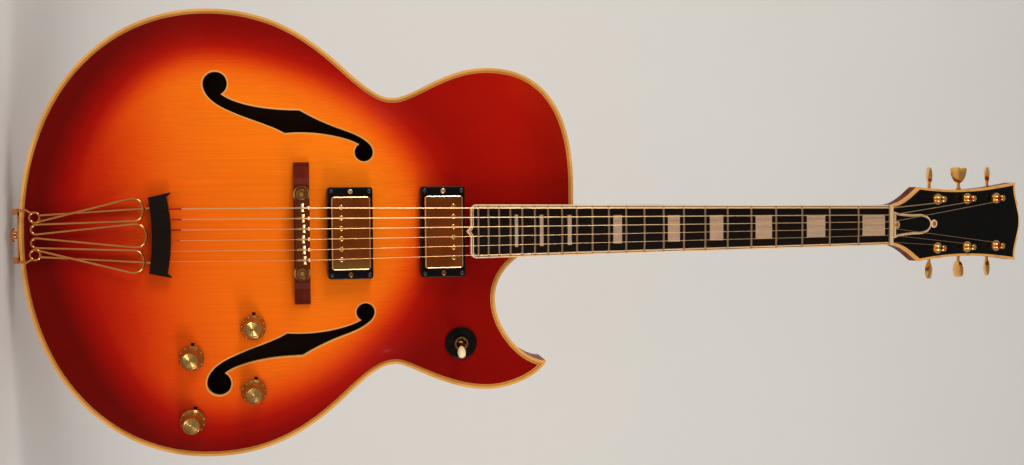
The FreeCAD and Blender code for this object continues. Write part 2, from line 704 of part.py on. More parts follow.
cover_under = prism(bell(0), -1, 0).fuse(Part.makeCylinder(4.3, 1, Vec(0, -1, 59), Vec(0, 1, 0)))
cover_tab = Part.makeCylinder(4.3, 2, Vec(0, -2.5, 6.4), Vec(0, 1, 0))
cover_over = prism(bell(2.5), -2, -1).cut(cover_tab)
for bore in screw_bores:
    cover_under = cover_under.cut(bore)
feature(cover_over, "truss_rod_cover", head_place)
cream = [placed(ply, neck_place) for ply in board_plies]
cream += [placed(head_ring, head_place), placed(cover_under, head_place), heel_cap]
feature(Part.makeCompound(cream), "neck_binding")


# Rods and strings. A bend is its centre's x and z, its radius and its turn: 1 to the left, -1 to the right
def bent_rod(bends, radius):
    runs = []
    heading = None
    for (x, z, wide, turn), (next_x, next_z, next_wide, next_turn) in zip(bends, bends[1:]):
        reach = math.hypot(next_x - x, next_z - z)
        swing = math.asin((next_turn * next_wide - turn * wide) / reach)
        new_heading = math.atan2(next_z - z, next_x - x) - swing
        along = Vec(math.cos(new_heading), 0, math.sin(new_heading))
        left = Vec(-along.z, 0, along.x)
        leave = Vec(x, 0, z) - left * turn * wide
        if heading is not None:
            sweep = turn * ((new_heading - heading) * turn % (2 * math.pi))
            disc = Part.Face(Part.Wire(Part.Circle(arrive, into, radius).toShape()))
            runs.append(disc.revolve(Vec(x, 0, z), Vec(0, -1, 0), math.degrees(sweep)))
        arrive = Vec(next_x, 0, next_z) - left * next_turn * next_wide
        runs.append(straight_rod(leave, arrive, radius))
        heading, into = new_heading, along
    return runs[0].fuse(runs[1:])


def straight_rod(start, end, radius):
    return Part.makeCylinder(radius, (end - start).Length, start, end - start)


def runs_between(points):
    return [Part.LineSegment(start, end).toShape() for start, end in zip(points, points[1:])]


def string(points, radius):
    mitred_corners = 1
    ring = Part.Wire(Part.Circle(points[0], points[1] - points[0], radius).toShape())
    return Part.Wire(runs_between(points)).makePipeShell([ring], True, False, mitred_corners)


# Tuning machines: posts through the head, worm keys behind it
post_height = "$worm_drop + 2.7 + $post_rise"
post_corners = [("0", "0"), ("$post_radius", "0"), ("$post_radius", "1.2"), ("$wheel_radius", "1.2"),
                ("$wheel_radius", "4.2"), ("$post_radius", "4.2"), ("$post_radius", post_height + " - 7.4"),
                ("$post_radius - 0.6", post_height + " - 6.8"),
                ("$post_radius - 0.6", post_height + " - 3.2"),
                ("$post_radius", post_height + " - 2.6"), ("$post_radius", post_height + " - 0.5"),
                ("$post_radius - 0.6", post_height), ("0", post_height)]
post_foot = dim("worm_drop") + 2.7
upright = Rotation(Vec(0, 0, 1), Vec(0, -1, 0))
key_rest = [125, 46.7, 137, 150, 105, 128]


def tuner_key():
    worm_at = dim("post_spread") / 2
    start, length, half = dim("button_start"), dim("button_length"), dim("button_width") / 2
    end = start + length
    along = Vec(1, 0, 0)
    worm = Part.makeCylinder(dim("worm_radius"), 9, Vec(worm_at - 4.5, 0, 0), along)
    shaft = Part.makeCylinder(dim("key_shaft"), start + 4 - worm_at + 6, Vec(worm_at - 6, 0, 0), along)
    collar = Part.makeCylinder(2.7, 1.6, Vec(worm_at + 9.7, 0, 0), along)
    edges = [straight((start, -2.4), (start, 2.4))]
    for sign in (-1, 1):
        edges += curve_arcs([(start, sign * 2.4), (start + 2.6, sign * 6.6), (start + 9, sign * half),
                             (end - 1.4, sign * half)])
        edges += curve_arcs([(end - 1.4, sign * half), (end - 0.4, sign * half * 0.7),
                             (end, sign * half * 0.4), (end, 0)])
    swell = 24
    middle = start + length / 2
    button = prism(loop(edges), -dim("button_thick"), dim("button_thick"))
    for side in (-1, 1):
        centre = Vec(middle, side * (swell - dim("button_thick") / 2), 0)
        button = button.common(Part.makeSphere(swell, centre))
    return worm.fuse([shaft, collar, button])


def edges_along_y(shape):
    return [side for side in shape.Edges if abs(side.Vertexes[0].Y - side.Vertexes[-1].Y) > 1]


# Each machine's closed housing, drawn for a post on the treble side at the frame's middle
def tuner_housing():
    wall, back = dim("wall"), dim("head_thickness")
    low = (-8.2, back, -8.2)
    high = (low[0] + dim("housing_across"), back + dim("housing_height"), low[2] + dim("housing_along"))
    case = box_between(low, high)
    case = case.makeFillet(2.4, edges_along_y(case))
    case = case.makeFillet(1.6, [side for side in case.Edges if side.BoundBox.YMin > high[1] - 0.01])
    case = case.cut(box_between([value + wall for value in low], [value - wall for value in high]))
    case = case.cut(Part.makeCylinder(dim("bushing_bore"), 8, Vec(0, back - 4, 0), Vec(0, 1, 0)))
    shaft_hole = Part.makeCylinder(dim("key_shaft") + 0.08, 30, Vec(0, dim("worm_drop"), dim("worm_offset")),
                                   Vec(1, 0, 0))
    return case.cut(shaft_hole)


def bushing(x, z):
    flange = Part.makeCylinder(dim("bushing_radius"), 1.5, Vec(x, -1.5, z), Vec(0, 1, 0))
    sleeve = Part.makeCylinder(4.4, 8, Vec(x, 0, z), Vec(0, 1, 0))
    return flange.fuse(sleeve).cut(Part.makeCylinder(dim("bushing_bore"), 20, Vec(x, -5, z), Vec(0, 1, 0)))


key_shape = tuner_key()
fixed_tuner_parts = []
for index, (x, z) in enumerate(post_spots):
    half_turn = Rotation(Vec(0, 1, 0), 180 if x < 0 else 0)
    foot = head_place.multiply(Placement(Vec(x, post_foot, z), upright))
    keep(turned("post_%d" % (index + 1), post_corners, foot), "tuner_post_%d" % (index + 1))
    seat = Placement(Vec(0, dim("worm_drop"), z + dim("worm_offset")),
                     Rotation(Vec(1, 0, 0), key_rest[index]))
    turn = Placement(Vec(0, 0, 0), half_turn)
    feature(key_shape, "tuner_key_%d" % (index + 1), head_place.multiply(seat).multiply(turn))
    case = tuner_housing()
    if x < 0:
        case = case.mirror(Vec(0, 0, 0), Vec(1, 0, 0))
    case.translate(Vec(x, 0, z))
    fixed_tuner_parts += [placed(case, head_place), placed(bushing(x, z), head_place)]
feature(Part.makeCompound(fixed_tuner_parts), "tuner_housings")

# Strings, from the heaviest on the bass side: tailpiece, saddle, nut, then the inner side of a post
string_radii = [0.58, 0.46, 0.35, 0.24, 0.2, 0.18]
saddle_shift = [-1.5, -0.9, -0.3, -0.9, -0.3, 0.3]
post_of_string = [0, 1, 2, 5, 4, 3]
block_exit = (136, 27)


def across(index, spread):
    return spread * (index / 5 - 0.5)


def string_height(index):
    return dim("saddle_height") - across(index, dim("string_spread")) ** 2 / (2 * camber)


def string_points(index):
    radius = string_radii[index]
    wide = across(index, dim("string_spread"))
    narrow = across(index, dim("nut_spread"))
    nut_lift = -1.97 + narrow ** 2 / (2 * camber)
    x, z = post_spots[post_of_string[index]]
    beside = abs(x) - (dim("post_radius") - 0.6) - radius - 0.3
    last = Vec(math.copysign(beside, x), -dim("post_rise") + 5, z)
    return [Vec(wide, -half_depth - block_exit[1], block_exit[0]),
            Vec(wide, -half_depth - string_height(index), dim("saddle_z") + saddle_shift[index]),
            neck_place.multVec(Vec(narrow, nut_lift, 1)),
            neck_place.multVec(Vec(narrow * 1.01, nut_lift + 0.5, dim("nut_length"))),
            head_place.multVec(last)]


strings = [string(string_points(index), string_radii[index]) for index in range(6)]
feature(Part.makeCompound(strings), "strings")
string_room = doc.addObject("Part::Feature", "string_room")
string_room.Shape = Part.makeCompound(strings)

nut_blank = bound("Part::Box", "nut_blank", Length="$nut_width", Width="$board_thickness + 2.6",
                  Height="$nut_length")
nut_blank.Placement = neck_place.multiply(Placement(Vec(-dim("nut_width") / 2, -2.6, 0), Rotation()))
keep(joined("Cut", "nut_slotted", nut_blank, string_room), "nut")

# Tailpiece: one bent rod makes three finger loops, with an eye and a hook at each end
tail_run = dim("tail_rod_far") - dim("tail_rod_near")
tail_slope = math.atan2(dim("tail_rise_high") - dim("tail_rise_low"), tail_run)
tail_start = dim("tail_rise_low") - dim("tail_rod_near") * math.tan(tail_slope)
tail_place = Placement(Vec(0, -half_depth - tail_start, 0), Rotation(Vec(1, 0, 0), math.degrees(tail_slope)))


def in_tail(x, z, below=0):
    return Vec(x, below, z / math.cos(tail_slope))


def tail_rods():
    radius = dim("rod_radius")
    bends = [(-13.6, 20.3, 0, 1), (-24.4, 109.3, 10.6, -1), (-6.4, 17.8, 4.6, 1), (0, 111.6, 11, -1),
             (6.4, 17.8, 4.6, 1), (24.4, 109.3, 10.6, -1), (13.6, 20.3, 0, 1)]
    solids = [bent_rod(bends, radius)]
    for sign in (-1, 1):
        eye = Part.makeTorus(4.8, radius, in_tail(sign * 17.6, 16.5), Vec(0, 1, 0))
        strut = straight_rod(in_tail(sign * 19.6, 20.6, 0.3), in_tail(sign * 26.1, 131, 3.6), radius)
        hook = string([in_tail(sign * 21.6, 14), in_tail(sign * 24.9, 8, 0.4), in_tail(sign * 23.5, -3, 1.6)],
                      radius)
        solids += [eye, strut, hook]
    return solids[0].fuse(solids[1:])


tail_rod_shape = placed(tail_rods(), tail_place)
feature(tail_rod_shape, "tailpiece_wires")


def tail_bar():
    edges = []
    for sign in (-1, 1):
        edges += curve_arcs([(0, 126.3), (sign * 12, 126.3), (sign * 24, 125), (sign * 35.8, 122.8)])
        edges.append(straight((sign * 35.8, 122.8), (sign * 40.5, 143.4)))
        edges += curve_arcs([(sign * 40.5, 143.4), (sign * 38.6, 143), (sign * 37.4, 141),
                             (sign * 36, 139.4)])
        edges += curve_arcs([(sign * 36, 139.4), (sign * 24, 142.4), (sign * 12, 143.3), (0, 143.3)])
    crown = 180
    top = half_depth + dim("tail_rise_high") + 4.6
    block = prism(loop(edges), -top, -top + dim("block_thick"))
    crowned = Part.makeCylinder(crown, 60, Vec(0, crown - top, 100), Vec(0, 0, 1))
    return block.common(crowned).cut(tail_rod_shape).cut(Part.makeCompound(strings))


feature(tail_bar(), "tailpiece_block")


# The bracket is screwed to the tail and carries a lug for each hook
def bracket():
    half, thick = dim("bracket_half"), dim("bracket_thick")
    plate = box_between((-half, -half_depth + 0.6, -0.1 - thick), (half, 14, -0.1))
    low_corners = [side for side in plate.Edges
                   if abs(side.Vertexes[0].Z - side.Vertexes[1].Z) > 1 and side.Vertexes[0].Y > 0]
    plate = plate.makeFillet(6, low_corners)
    for sign in (-1, 1):
        lug = box_between((sign * 23 - 3, -half_depth - 7.2, -4.2), (sign * 23 + 3, -half_depth + 4, -0.1))
        plate = plate.fuse(lug)
    return plate.cut(pin_hole).cut(tail_rod_shape)


bracket_shape = bracket()
for bore in bracket_bores:
    bracket_shape = bracket_shape.cut(bore)
feature(bracket_shape, "tailpiece_bracket")

pin_shank = "25.7"
pin_flange = pin_shank + " + 1.7"
pin_end = pin_flange + " + $pin_waist_length"
pin_corners = [("0", "0"), ("2.5", "0"), ("2.5", pin_shank), ("6.2", pin_shank), ("6.2", pin_flange),
               ("$pin_waist", pin_flange), ("$pin_waist", pin_end), ("6.7", pin_end),
               ("6.7", pin_end + " + 2.5"), ("4", pin_end + " + 3.9"), ("0", pin_end + " + 4.3")]
keep(turned("pin_body", pin_corners, Placement(Vec(0, 0, 24), Rotation(Vec(1, 0, 0), 180))), "end_pin")

# Output jack in the lower treble side, with a bore for a 6.35 mm plug
jack_sleeve = "16"
jack_corners = [("$jack_bore", "0"), ("7", "0"), ("7", "8"), ("4.7", "8"), ("4.7", jack_sleeve),
                ("11", jack_sleeve), ("11", jack_sleeve + " + 1.2"), ("6.2", jack_sleeve + " + 1.2"),
                ("6.2", "$jack_length"), ("$jack_bore", "$jack_length")]
jack_place = Placement(jack_spot - Vec(16, 0, 0), Rotation(Vec(0, 0, 1), Vec(1, 0, 0)))
keep(turned("jack_body", jack_corners, jack_place), "output_jack")


# A profile pushed out to a length, for the bridge's base and saddles
def padded(name, role, corners, length, place):
    body = doc.addObject("PartDesign::Body", name)
    sketch = profile_sketch(body, role, corners)
    pad = body.newObject("PartDesign::Pad", name + "_pad")
    pad.Profile = sketch
    pad.setExpression("Length", length.replace("$", "dims."))
    body.Tip = pad
    body.Placement = place
    return body


def raised(x, height, z, turn=Rotation()):
    return Placement(Vec(x, -half_depth - height, z), turn)


def compound(name, links):
    group = doc.addObject("Part::Compound", name)
    group.Links = links
    return group


# Bridge: a carved base fitted to the arch, two posts, two wheels and a slotted bar
bridge_z = dim("bridge_z")
base_full = "2 * $base_half"
base_corners = [("0", "8"), (base_full, "8"), (base_full, "$base_top - 5"),
                (base_full + " - 4", "$base_top - 5"), (base_full + " - 4", "$base_top - 3.6"),
                (base_full + " - 15", "$base_top - 2.3"), (base_full + " - 21", "$base_top"),
                ("21", "$base_top"), ("15", "$base_top - 2.3"), ("4", "$base_top - 3.6"),
                ("4", "$base_top - 5"), ("0", "$base_top - 5")]
base_place = raised(dim("base_half"), 0, bridge_z - dim("base_width") / 2, Rotation(Vec(0, 0, 1), 180))
base_blank = padded("base_blank", "XY_Plane", base_corners, "$base_width", base_place)
arch_room = doc.addObject("Part::Feature", "arch_room")
arch_room.Shape = behind_top(-dim("gap"))
post_depth = 6
wheel_spots = [-dim("post_gap") / 2, dim("post_gap") / 2]
studs = [bound("Part::Cylinder", "bridge_stud_%d" % side, Radius="$bridge_post",
               Height="$bridge_post_top - $base_top + %d" % post_depth,
               place=raised(x, dim("base_top") - post_depth, bridge_z, upright))
         for side, x in enumerate(wheel_spots)]
stud_pair = keep(compound("bridge_studs", studs), "bridge_posts")
base_fitted = joined("Cut", "base_fitted", base_blank, arch_room)
keep(joined("Cut", "base_drilled", base_fitted, stud_pair), "bridge_base")

running_fit = 0.05
wheel_bore = "$bridge_post + %s" % running_fit
wheel_corners = [(wheel_bore, "0"), ("$wheel_dia / 2 - 0.5", "0"), ("$wheel_dia / 2", "0.5"),
                 ("$wheel_dia / 2", "$wheel_thick - 0.5"), ("$wheel_dia / 2 - 0.5", "$wheel_thick"),
                 (wheel_bore, "$wheel_thick")]
for x, side in zip(wheel_spots, ("bass", "treble")):
    wheel = turned("wheel_" + side, wheel_corners, raised(x, dim("wheel_low"), bridge_z, upright))
    keep(wheel, "thumbwheel_" + side)

bar_top = dim("bar_low") + dim("bar_tall")
bar_box = bound("Part::Box", "bar_box", Length="2 * $bar_half", Width="$bar_tall", Height="$bar_wide",
                place=raised(-dim("bar_half"), bar_top, bridge_z - dim("bar_wide") / 2))
doc.recompute()
bar_rounded = doc.addObject("Part::Fillet", "bar_rounded")
bar_rounded.Base = bar_box
bar_corner = 5.5
bar_rounded.Edges = [(number, bar_corner, bar_corner) for number, side in enumerate(bar_box.Shape.Edges, 1)
                     if abs(side.Vertexes[0].Y - side.Vertexes[1].Y) > 1]
slot_box = bound("Part::Box", "slot_box", Length="2 * $slot_half", Width="$bar_tall", Height="$slot_wide",
                 place=raised(-dim("slot_half"), dim("slot_floor") + dim("bar_tall"),
                              bridge_z - dim("slot_wide") / 2))
post_bores = [bound("Part::Cylinder", "post_bore_%d" % side, Radius=wheel_bore, Height="20",
                    place=raised(x, dim("bar_low") - 5, bridge_z, upright))
              for side, x in enumerate(wheel_spots)]

# One screw per saddle runs through the bar's slot, its head on the neck side
screw_level = dim("slot_floor") + 2.5
saddle_screws = []
for index in range(6):
    start = raised(across(index, dim("string_spread")), screw_level, bridge_z - dim("bar_wide") / 2)
    shank = bound("Part::Cylinder", "saddle_shank_%d" % index, Radius="$saddle_screw", Height="$bar_wide",
                  place=start)
    head_start = start.multiply(Placement(Vec(0, 0, dim("bar_wide")), Rotation()))
    head = bound("Part::Cylinder", "saddle_head_%d" % index, Radius="$saddle_screw + 0.7", Height="1.3",
                 place=head_start)
    saddle_screws.append(joined("MultiFuse", "saddle_screw_%d" % index, shank, [head]))
bar_cuts = joined("MultiFuse", "bar_cuts", slot_box, post_bores)
bar_slotted = joined("Cut", "bar_slotted", bar_rounded, bar_cuts)
bar_drilled = joined("Cut", "bar_drilled", bar_slotted, compound("screw_set", saddle_screws))
keep(compound("bar_and_screws", [bar_drilled] + saddle_screws), "bridge_bar")

saddle_foot = dim("slot_floor") + 0.3
for index in range(6):
    peak = "%s - $saddle_clear" % (string_height(index) - string_radii[index] - saddle_foot)
    saddle_corners = [("0", "0"), ("$saddle_long", "0"), ("$saddle_long", peak + " - 1.4"),
                      ("$saddle_long / 2 + 0.3", peak), ("$saddle_long / 2 - 0.3", peak),
                      ("0", peak + " - 1.4")]
    x = across(index, dim("string_spread"))
    z = dim("saddle_z") + saddle_shift[index]
    place = raised(x - dim("saddle_wide") / 2, saddle_foot, z - dim("saddle_long") / 2,
                   Rotation(Vec(1, 0, 0), 90))
    blank = padded("saddle_blank_%d" % index, "YZ_Plane", saddle_corners, "$saddle_wide", place)
    bore = bound("Part::Cylinder", "saddle_bore_%d" % index, Radius="$saddle_screw + %s" % running_fit,
                 Height="20", place=raised(x, screw_level, z - 10))
    keep(joined("Cut", "saddle_bored_%d" % index, blank, bore), "saddle_%d" % (index + 1))


# Pickups: a metal cover over two bobbins, a magnet and a base plate with a tab at each end
height_screws = [(-39.7, 0), (39.7, 0)]
tab_half = 41.4
straight_back = Vec(0, 1, 0)


def pickup_ring():
    half_long, half_wide = dim("ring_length") / 2, dim("ring_width") / 2
    top, plate_thick, skirt = dim("cover_above_ring"), 3, 2
    window_long = half_long - dim("ring_wall_end")
    window_wide = half_wide - dim("ring_wall_side")
    ring = box_between((-half_long, top, -half_wide), (half_long, 40, half_wide))
    ring = ring.makeFillet(3, edges_along_y(ring))
    ring = ring.makeFillet(1, [side for side in ring.Edges if side.BoundBox.YMax < top + 0.01])
    ring = ring.cut(box_between((-window_long, 0, -window_wide), (window_long, 50, window_wide)))
    ring = ring.cut(box_between((-half_long + skirt, top + plate_thick, -window_wide),
                                (half_long - skirt, 50, window_wide)))
    for x, z in ring_corners:
        ring = ring.cut(Part.makeCylinder(1.1, 60, Vec(x, 0, z), straight_back))
    for x, z in height_screws:
        ring = ring.cut(Part.makeCylinder(1.5, 60, Vec(x, 0, z), straight_back))
    return ring


def pickup(pole_row):
    half_long, half_wide = dim("cover_length") / 2, dim("cover_width") / 2
    skin, tall = dim("cover_skin"), dim("cover_tall")
    cover = box_between((-half_long, 0, -half_wide), (half_long, tall, half_wide))
    cover = cover.makeFillet(3, edges_along_y(cover))
    cover = cover.makeFillet(1.6, [side for side in cover.Edges if side.BoundBox.YMax < 0.01])
    inner_long, inner_wide = half_long - skin, half_wide - skin
    hollow = box_between((-inner_long, skin, -inner_wide), (inner_long, tall, inner_wide))
    hollow = hollow.makeFillet(2.4, edges_along_y(hollow))
    cover = cover.cut(hollow)
    pole_spots = [Vec(across(index, dim("string_spread")), -0.7, pole_row) for index in range(6)]
    poles = [Part.makeCylinder(dim("pole_radius"), 11.5, spot, straight_back) for spot in pole_spots]
    bobbins = [box_between((-33, 1.4, row - 8), (33, 10.8, row + 8)) for row in (-pole_row, pole_row)]
    for pole in poles:
        cover = cover.cut(pole)
        bobbins = [bobbin.cut(pole) for bobbin in bobbins]
    magnet = box_between((-31, 11.2, -6), (31, 14.4, 6))
    plate = box_between((-half_long, tall, -half_wide), (half_long, tall + 1.2, half_wide))
    plate = plate.fuse(box_between((-tab_half, tall, -4.8), (tab_half, tall + 1.2, 4.8)))
    for x, z in height_screws:
        plate = plate.cut(Part.makeCylinder(1.58, 60, Vec(x, 0, z), straight_back))
    return Part.makeCompound([cover, plate, magnet] + bobbins + poles)


rings = [placed(pickup_ring(), place).cut(arch_room.Shape) for place in pickup_places]
feature(Part.makeCompound(rings), "pickup_rings")
feature(pickup(-dim("pole_side")), "pickup_bridge", pickup_places[0])
feature(pickup(dim("pole_side")), "pickup_neck", pickup_places[1])


# Small screws: a domed head on a plain shank, pointing along local +Y from the origin
def screw(head, head_tall, shank, length):
    cap = Part.makeCylinder(head, head_tall, Vec(0, -head_tall, 0), straight_back)
    rim_edge = [side for side in cap.Edges if side.BoundBox.YMax < -head_tall + 0.01]
    cap = cap.makeFillet(head_tall * 0.6, rim_edge)
    return cap.fuse(Part.makeCylinder(shank, length, Vec(0, 0, 0), straight_back))


def screw_in(place, x, level, z, *sizes):
    return placed(screw(*sizes), place.multiply(Placement(Vec(x, level, z), Rotation())))


ring_level = dim("cover_above_ring")
screws = []
for place in pickup_places:
    screws += [screw_in(place, x, ring_level, z, 2, 0.8, 1.1, 17) for x, z in ring_corners]
    screws += [screw_in(place, x, ring_level, z, 2.8, 1.5, 1.5, 19) for x, z in height_screws]
screws += [screw_in(head_place, x, -1, z, 2.4, 1.2, 1, 6) for x, z in cover_screws]
into_tail = Rotation(Vec(1, 0, 0), 90)
for x, y in bracket_screws:
    place = Placement(Vec(x, y, -0.1 - dim("bracket_thick")), into_tail)
    screws.append(placed(screw(3, 1.4, 1.5, 14), place))
feature(Part.makeCompound(screws), "small_screws")


# Controls: a hollow can under the top, its bushing and nut, and a pointer under the knob
under_top = -6.8


def control_pot():
    radius, tall = dim("pot_radius"), dim("pot_tall")
    can = Part.makeCylinder(radius, tall, Vec(0, 0, under_top - tall))
    can = can.cut(Part.makeCylinder(radius - 0.8, tall - 1.6, Vec(0, 0, under_top - tall + 0.8)))
    sleeve = Part.makeCylinder(3.6, 1.9 - under_top, Vec(0, 0, under_top))
    nut = Part.makeCylinder(6, 1.2, Vec(0, 0, 0.7))
    washer = Part.makeCylinder(6.6, 0.45, Vec(0, 0, 0.15))
    pointer = box_between((-14.4, -1.6, 0.15), (0, 1.6, 0.6)).fuse(washer)
    bore = Part.makeCylinder(dim("shaft_radius") + running_fit, 2 - under_top + 4, Vec(0, 0, under_top - 3))
    return can.fuse([sleeve, nut, pointer]).cut(bore)


feature(Part.makeCompound([placed(control_pot(), place) for place in pot_places]), "control_pots")
knob_end = "$shaft_length + $knob_tall"
knob_corners = [("0", "0"), ("$shaft_radius", "0"), ("$shaft_radius", "$shaft_length"),
                ("$knob_skirt", "$shaft_length"), ("$knob_skirt", "$shaft_length + 0.8"),
                ("$knob_waist + 0.6", "$shaft_length + 3.6"), ("$knob_waist", "$shaft_length + 4.6"),
                ("$knob_top", knob_end + " - 0.6"), ("$knob_top - 0.6", knob_end), ("0", knob_end)]
knob_sink = dim("knob_lift") - dim("shaft_length")
for number, place in enumerate(pot_places, 1):
    stem = place.multiply(Placement(Vec(0, 0, knob_sink), Rotation()))
    keep(turned("knob_body_%d" % number, knob_corners, stem), "knob_%d" % number)

# Selector switch: a ring on the top, a sleeve with its nut, a case below and a leaning lever on its pivot
swing_bore = 4.4


def switch_case():
    ring = Part.makeCylinder(dim("switch_ring"), 1.3, Vec(0, 0, 0.5))
    ring = ring.cut(Part.makeCylinder(dim("switch_ring_bore"), 5, Vec(0, 0, -1)))
    nut = Part.makeCylinder(dim("switch_ring_bore") - 0.2, 3.4, Vec(0, 0, 0.15))
    sleeve = Part.makeCylinder(5.9, 0.3 - under_top, Vec(0, 0, under_top))
    case = box_between((-10, -8, -32), (10, 8, under_top))
    case = case.cut(box_between((-8.8, -6.8, -30.8), (8.8, 6.8, under_top - 1.2)))
    bore = Part.makeCylinder(swing_bore, 20, Vec(0, 0, under_top - 4))
    return Part.makeCompound([ring, nut.fuse([sleeve, case]).cut(bore)])


feature(switch_case(), "switch_housing", switch_place)
switch_turn = math.radians(dim("switch_turn"))
tilt_axis = Vec(math.sin(switch_turn), 0, math.cos(switch_turn))
lean = Rotation(tilt_axis, dim("switch_lean")).multiply(switch_place.Rotation)
lever_drop = 10
lever_corners = [("0", "0"), ("$lever_radius", "0"), ("$lever_radius", "%d - 2.8" % lever_drop),
                 ("3", "%d - 1.6" % lever_drop), ("3", "%d + 1.6" % lever_drop),
                 ("$lever_radius", "%d + 2.8" % lever_drop),
                 ("$lever_radius", "%d + $lever_top" % lever_drop),
                 ("0", "%d + $lever_top" % lever_drop)]
lever_place = Placement(switch_place.Base, lean)
lever_foot = lever_place.multiply(Placement(Vec(0, 0, -lever_drop), Rotation()))
lever_body = turned("lever_body", lever_corners, lever_foot)
pivot_half = 3.9
pivot_foot = Placement(switch_place.Base - tilt_axis * pivot_half, Rotation(Vec(0, 0, 1), tilt_axis))
pivot_pin = bound("Part::Cylinder", "pivot_pin", pivot_foot, Radius="$lever_radius - 0.6",
                  Height="2 * %s" % pivot_half)
keep(joined("MultiFuse", "lever_on_pivot", lever_body, [pivot_pin]), "switch_lever")
tip_socket = 5
tip_corners = [("$lever_radius", "0"), ("$tip_radius * 0.62", "0"), ("$tip_radius * 0.9", "5"),
               ("$tip_radius", "9"), ("$tip_radius * 0.86", "$tip_tall - 1.6"),
               ("$tip_radius * 0.45", "$tip_tall"), ("0", "$tip_tall"), ("0", "%d" % tip_socket),
               ("$lever_radius", "%d" % tip_socket)]
tip_foot = lever_place.multiply(Placement(Vec(0, 0, dim("lever_top") - tip_socket), Rotation()))
keep(turned("tip_body", tip_corners, tip_foot), "switch_tip")

# Every piece is checked before any is written
doc.recompute()
for item in doc.Objects:
    if "Invalid" in item.State or "Error" in item.State:
        raise RuntimeError("%s did not build" % item.Label)
for piece in pieces:
    if piece.Shape.isNull() or not piece.Shape.isValid():
        raise RuntimeError("%s has no valid shape" % piece.Label)
os.makedirs("parts", exist_ok=True)
for piece in pieces:
    piece.Shape.exportStep("parts/%s.step" % piece.Label)
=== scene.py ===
import math

import bmesh
import bpy
from mathutils import Matrix, Vector


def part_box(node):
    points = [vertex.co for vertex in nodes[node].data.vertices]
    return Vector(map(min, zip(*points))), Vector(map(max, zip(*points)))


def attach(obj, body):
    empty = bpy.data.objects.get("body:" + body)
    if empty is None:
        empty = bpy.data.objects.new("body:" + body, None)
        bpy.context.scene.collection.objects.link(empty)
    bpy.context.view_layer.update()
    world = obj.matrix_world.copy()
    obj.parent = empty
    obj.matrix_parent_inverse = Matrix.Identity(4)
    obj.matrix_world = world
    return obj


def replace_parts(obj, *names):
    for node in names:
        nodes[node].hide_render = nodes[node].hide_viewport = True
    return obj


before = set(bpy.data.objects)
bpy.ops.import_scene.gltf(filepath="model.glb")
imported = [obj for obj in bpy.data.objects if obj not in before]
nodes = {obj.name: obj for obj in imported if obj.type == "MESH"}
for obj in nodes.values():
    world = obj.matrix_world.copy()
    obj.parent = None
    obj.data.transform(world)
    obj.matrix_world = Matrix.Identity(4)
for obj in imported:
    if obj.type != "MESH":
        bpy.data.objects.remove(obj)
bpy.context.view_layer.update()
print("frame loaded with", len(nodes), "nodes")


# shader helpers

def addNode(tree, kind, inputs=None, **settings):
    node = tree.nodes.new(kind)
    for name, value in settings.items():
        setattr(node, name, value)
    for name, value in (inputs or {}).items():
        feed(tree, node.inputs[name], value)
    return node


def feed(tree, socket, value):
    if isinstance(value, bpy.types.NodeSocket):
        tree.links.new(value, socket)
    else:
        socket.default_value = value


def mathNode(tree, operation, first, second=0.0, third=0.0):
    node = addNode(tree, "ShaderNodeMath", operation=operation)
    for socket, value in zip(node.inputs, (first, second, third)):
        feed(tree, socket, value)
    return node.outputs[0]


def blendColour(tree, share, first, second, kind="MIX"):
    node = addNode(tree, "ShaderNodeMix", data_type="RGBA", blend_type=kind)
    feed(tree, node.inputs[0], share)
    feed(tree, node.inputs[6], first)
    feed(tree, node.inputs[7], second)
    return node.outputs[2]


def stepRange(tree, value, low, high, toLow=0.0, toHigh=1.0):
    node = addNode(tree, "ShaderNodeMapRange", {"Value": value, "From Min": low, "From Max": high,
                                                "To Min": toLow, "To Max": toHigh},
                   interpolation_type="SMOOTHSTEP")
    return node.outputs[0]


def colourRamp(tree, value, stops):
    node = addNode(tree, "ShaderNodeValToRGB", {"Fac": value})
    ramp = node.color_ramp
    while len(ramp.elements) < len(stops):
        ramp.elements.new(0.5)
    for element, (place, colour) in zip(ramp.elements, stops):
        element.position = place
        element.color = (*colour, 1)
    return node.outputs["Color"]


def noiseField(tree, place, scale, detail):
    return addNode(tree, "ShaderNodeTexNoise", {"Vector": place, "Scale": scale, "Detail": detail}).outputs[0]


def splitVector(tree, vector):
    return addNode(tree, "ShaderNodeSeparateXYZ", {"Vector": vector}).outputs


def surfaceNormal(tree):
    return splitVector(tree, tree.nodes.new("ShaderNodeNewGeometry").outputs["Normal"])


def startGroup(name, inputs, outputs):
    group = bpy.data.node_groups.new(name, "ShaderNodeTree")
    for label, kind, value in inputs:
        socket = group.interface.new_socket(label, in_out="INPUT", socket_type=kind)
        if value is not None:
            socket.default_value = value
    for label, kind in outputs:
        group.interface.new_socket(label, in_out="OUTPUT", socket_type=kind)
    return group, group.nodes.new("NodeGroupInput").outputs, group.nodes.new("NodeGroupOutput").inputs


def useGroup(tree, group, inputs):
    node = tree.nodes.new("ShaderNodeGroup")
    node.node_tree = group
    for name, value in inputs.items():
        feed(tree, node.inputs[name], value)
    return node.outputs


floatSocket, vectorSocket = "NodeSocketFloat", "NodeSocketVector"

# straight grain: streaks along Z, a broad cloudy figure and the height of the pores
grainLook = {"streak": (1.0, 4.0), "figure": (11.0, 3.0), "fine": (2.6, 2.0), "pores": (0.35, 0.5)}


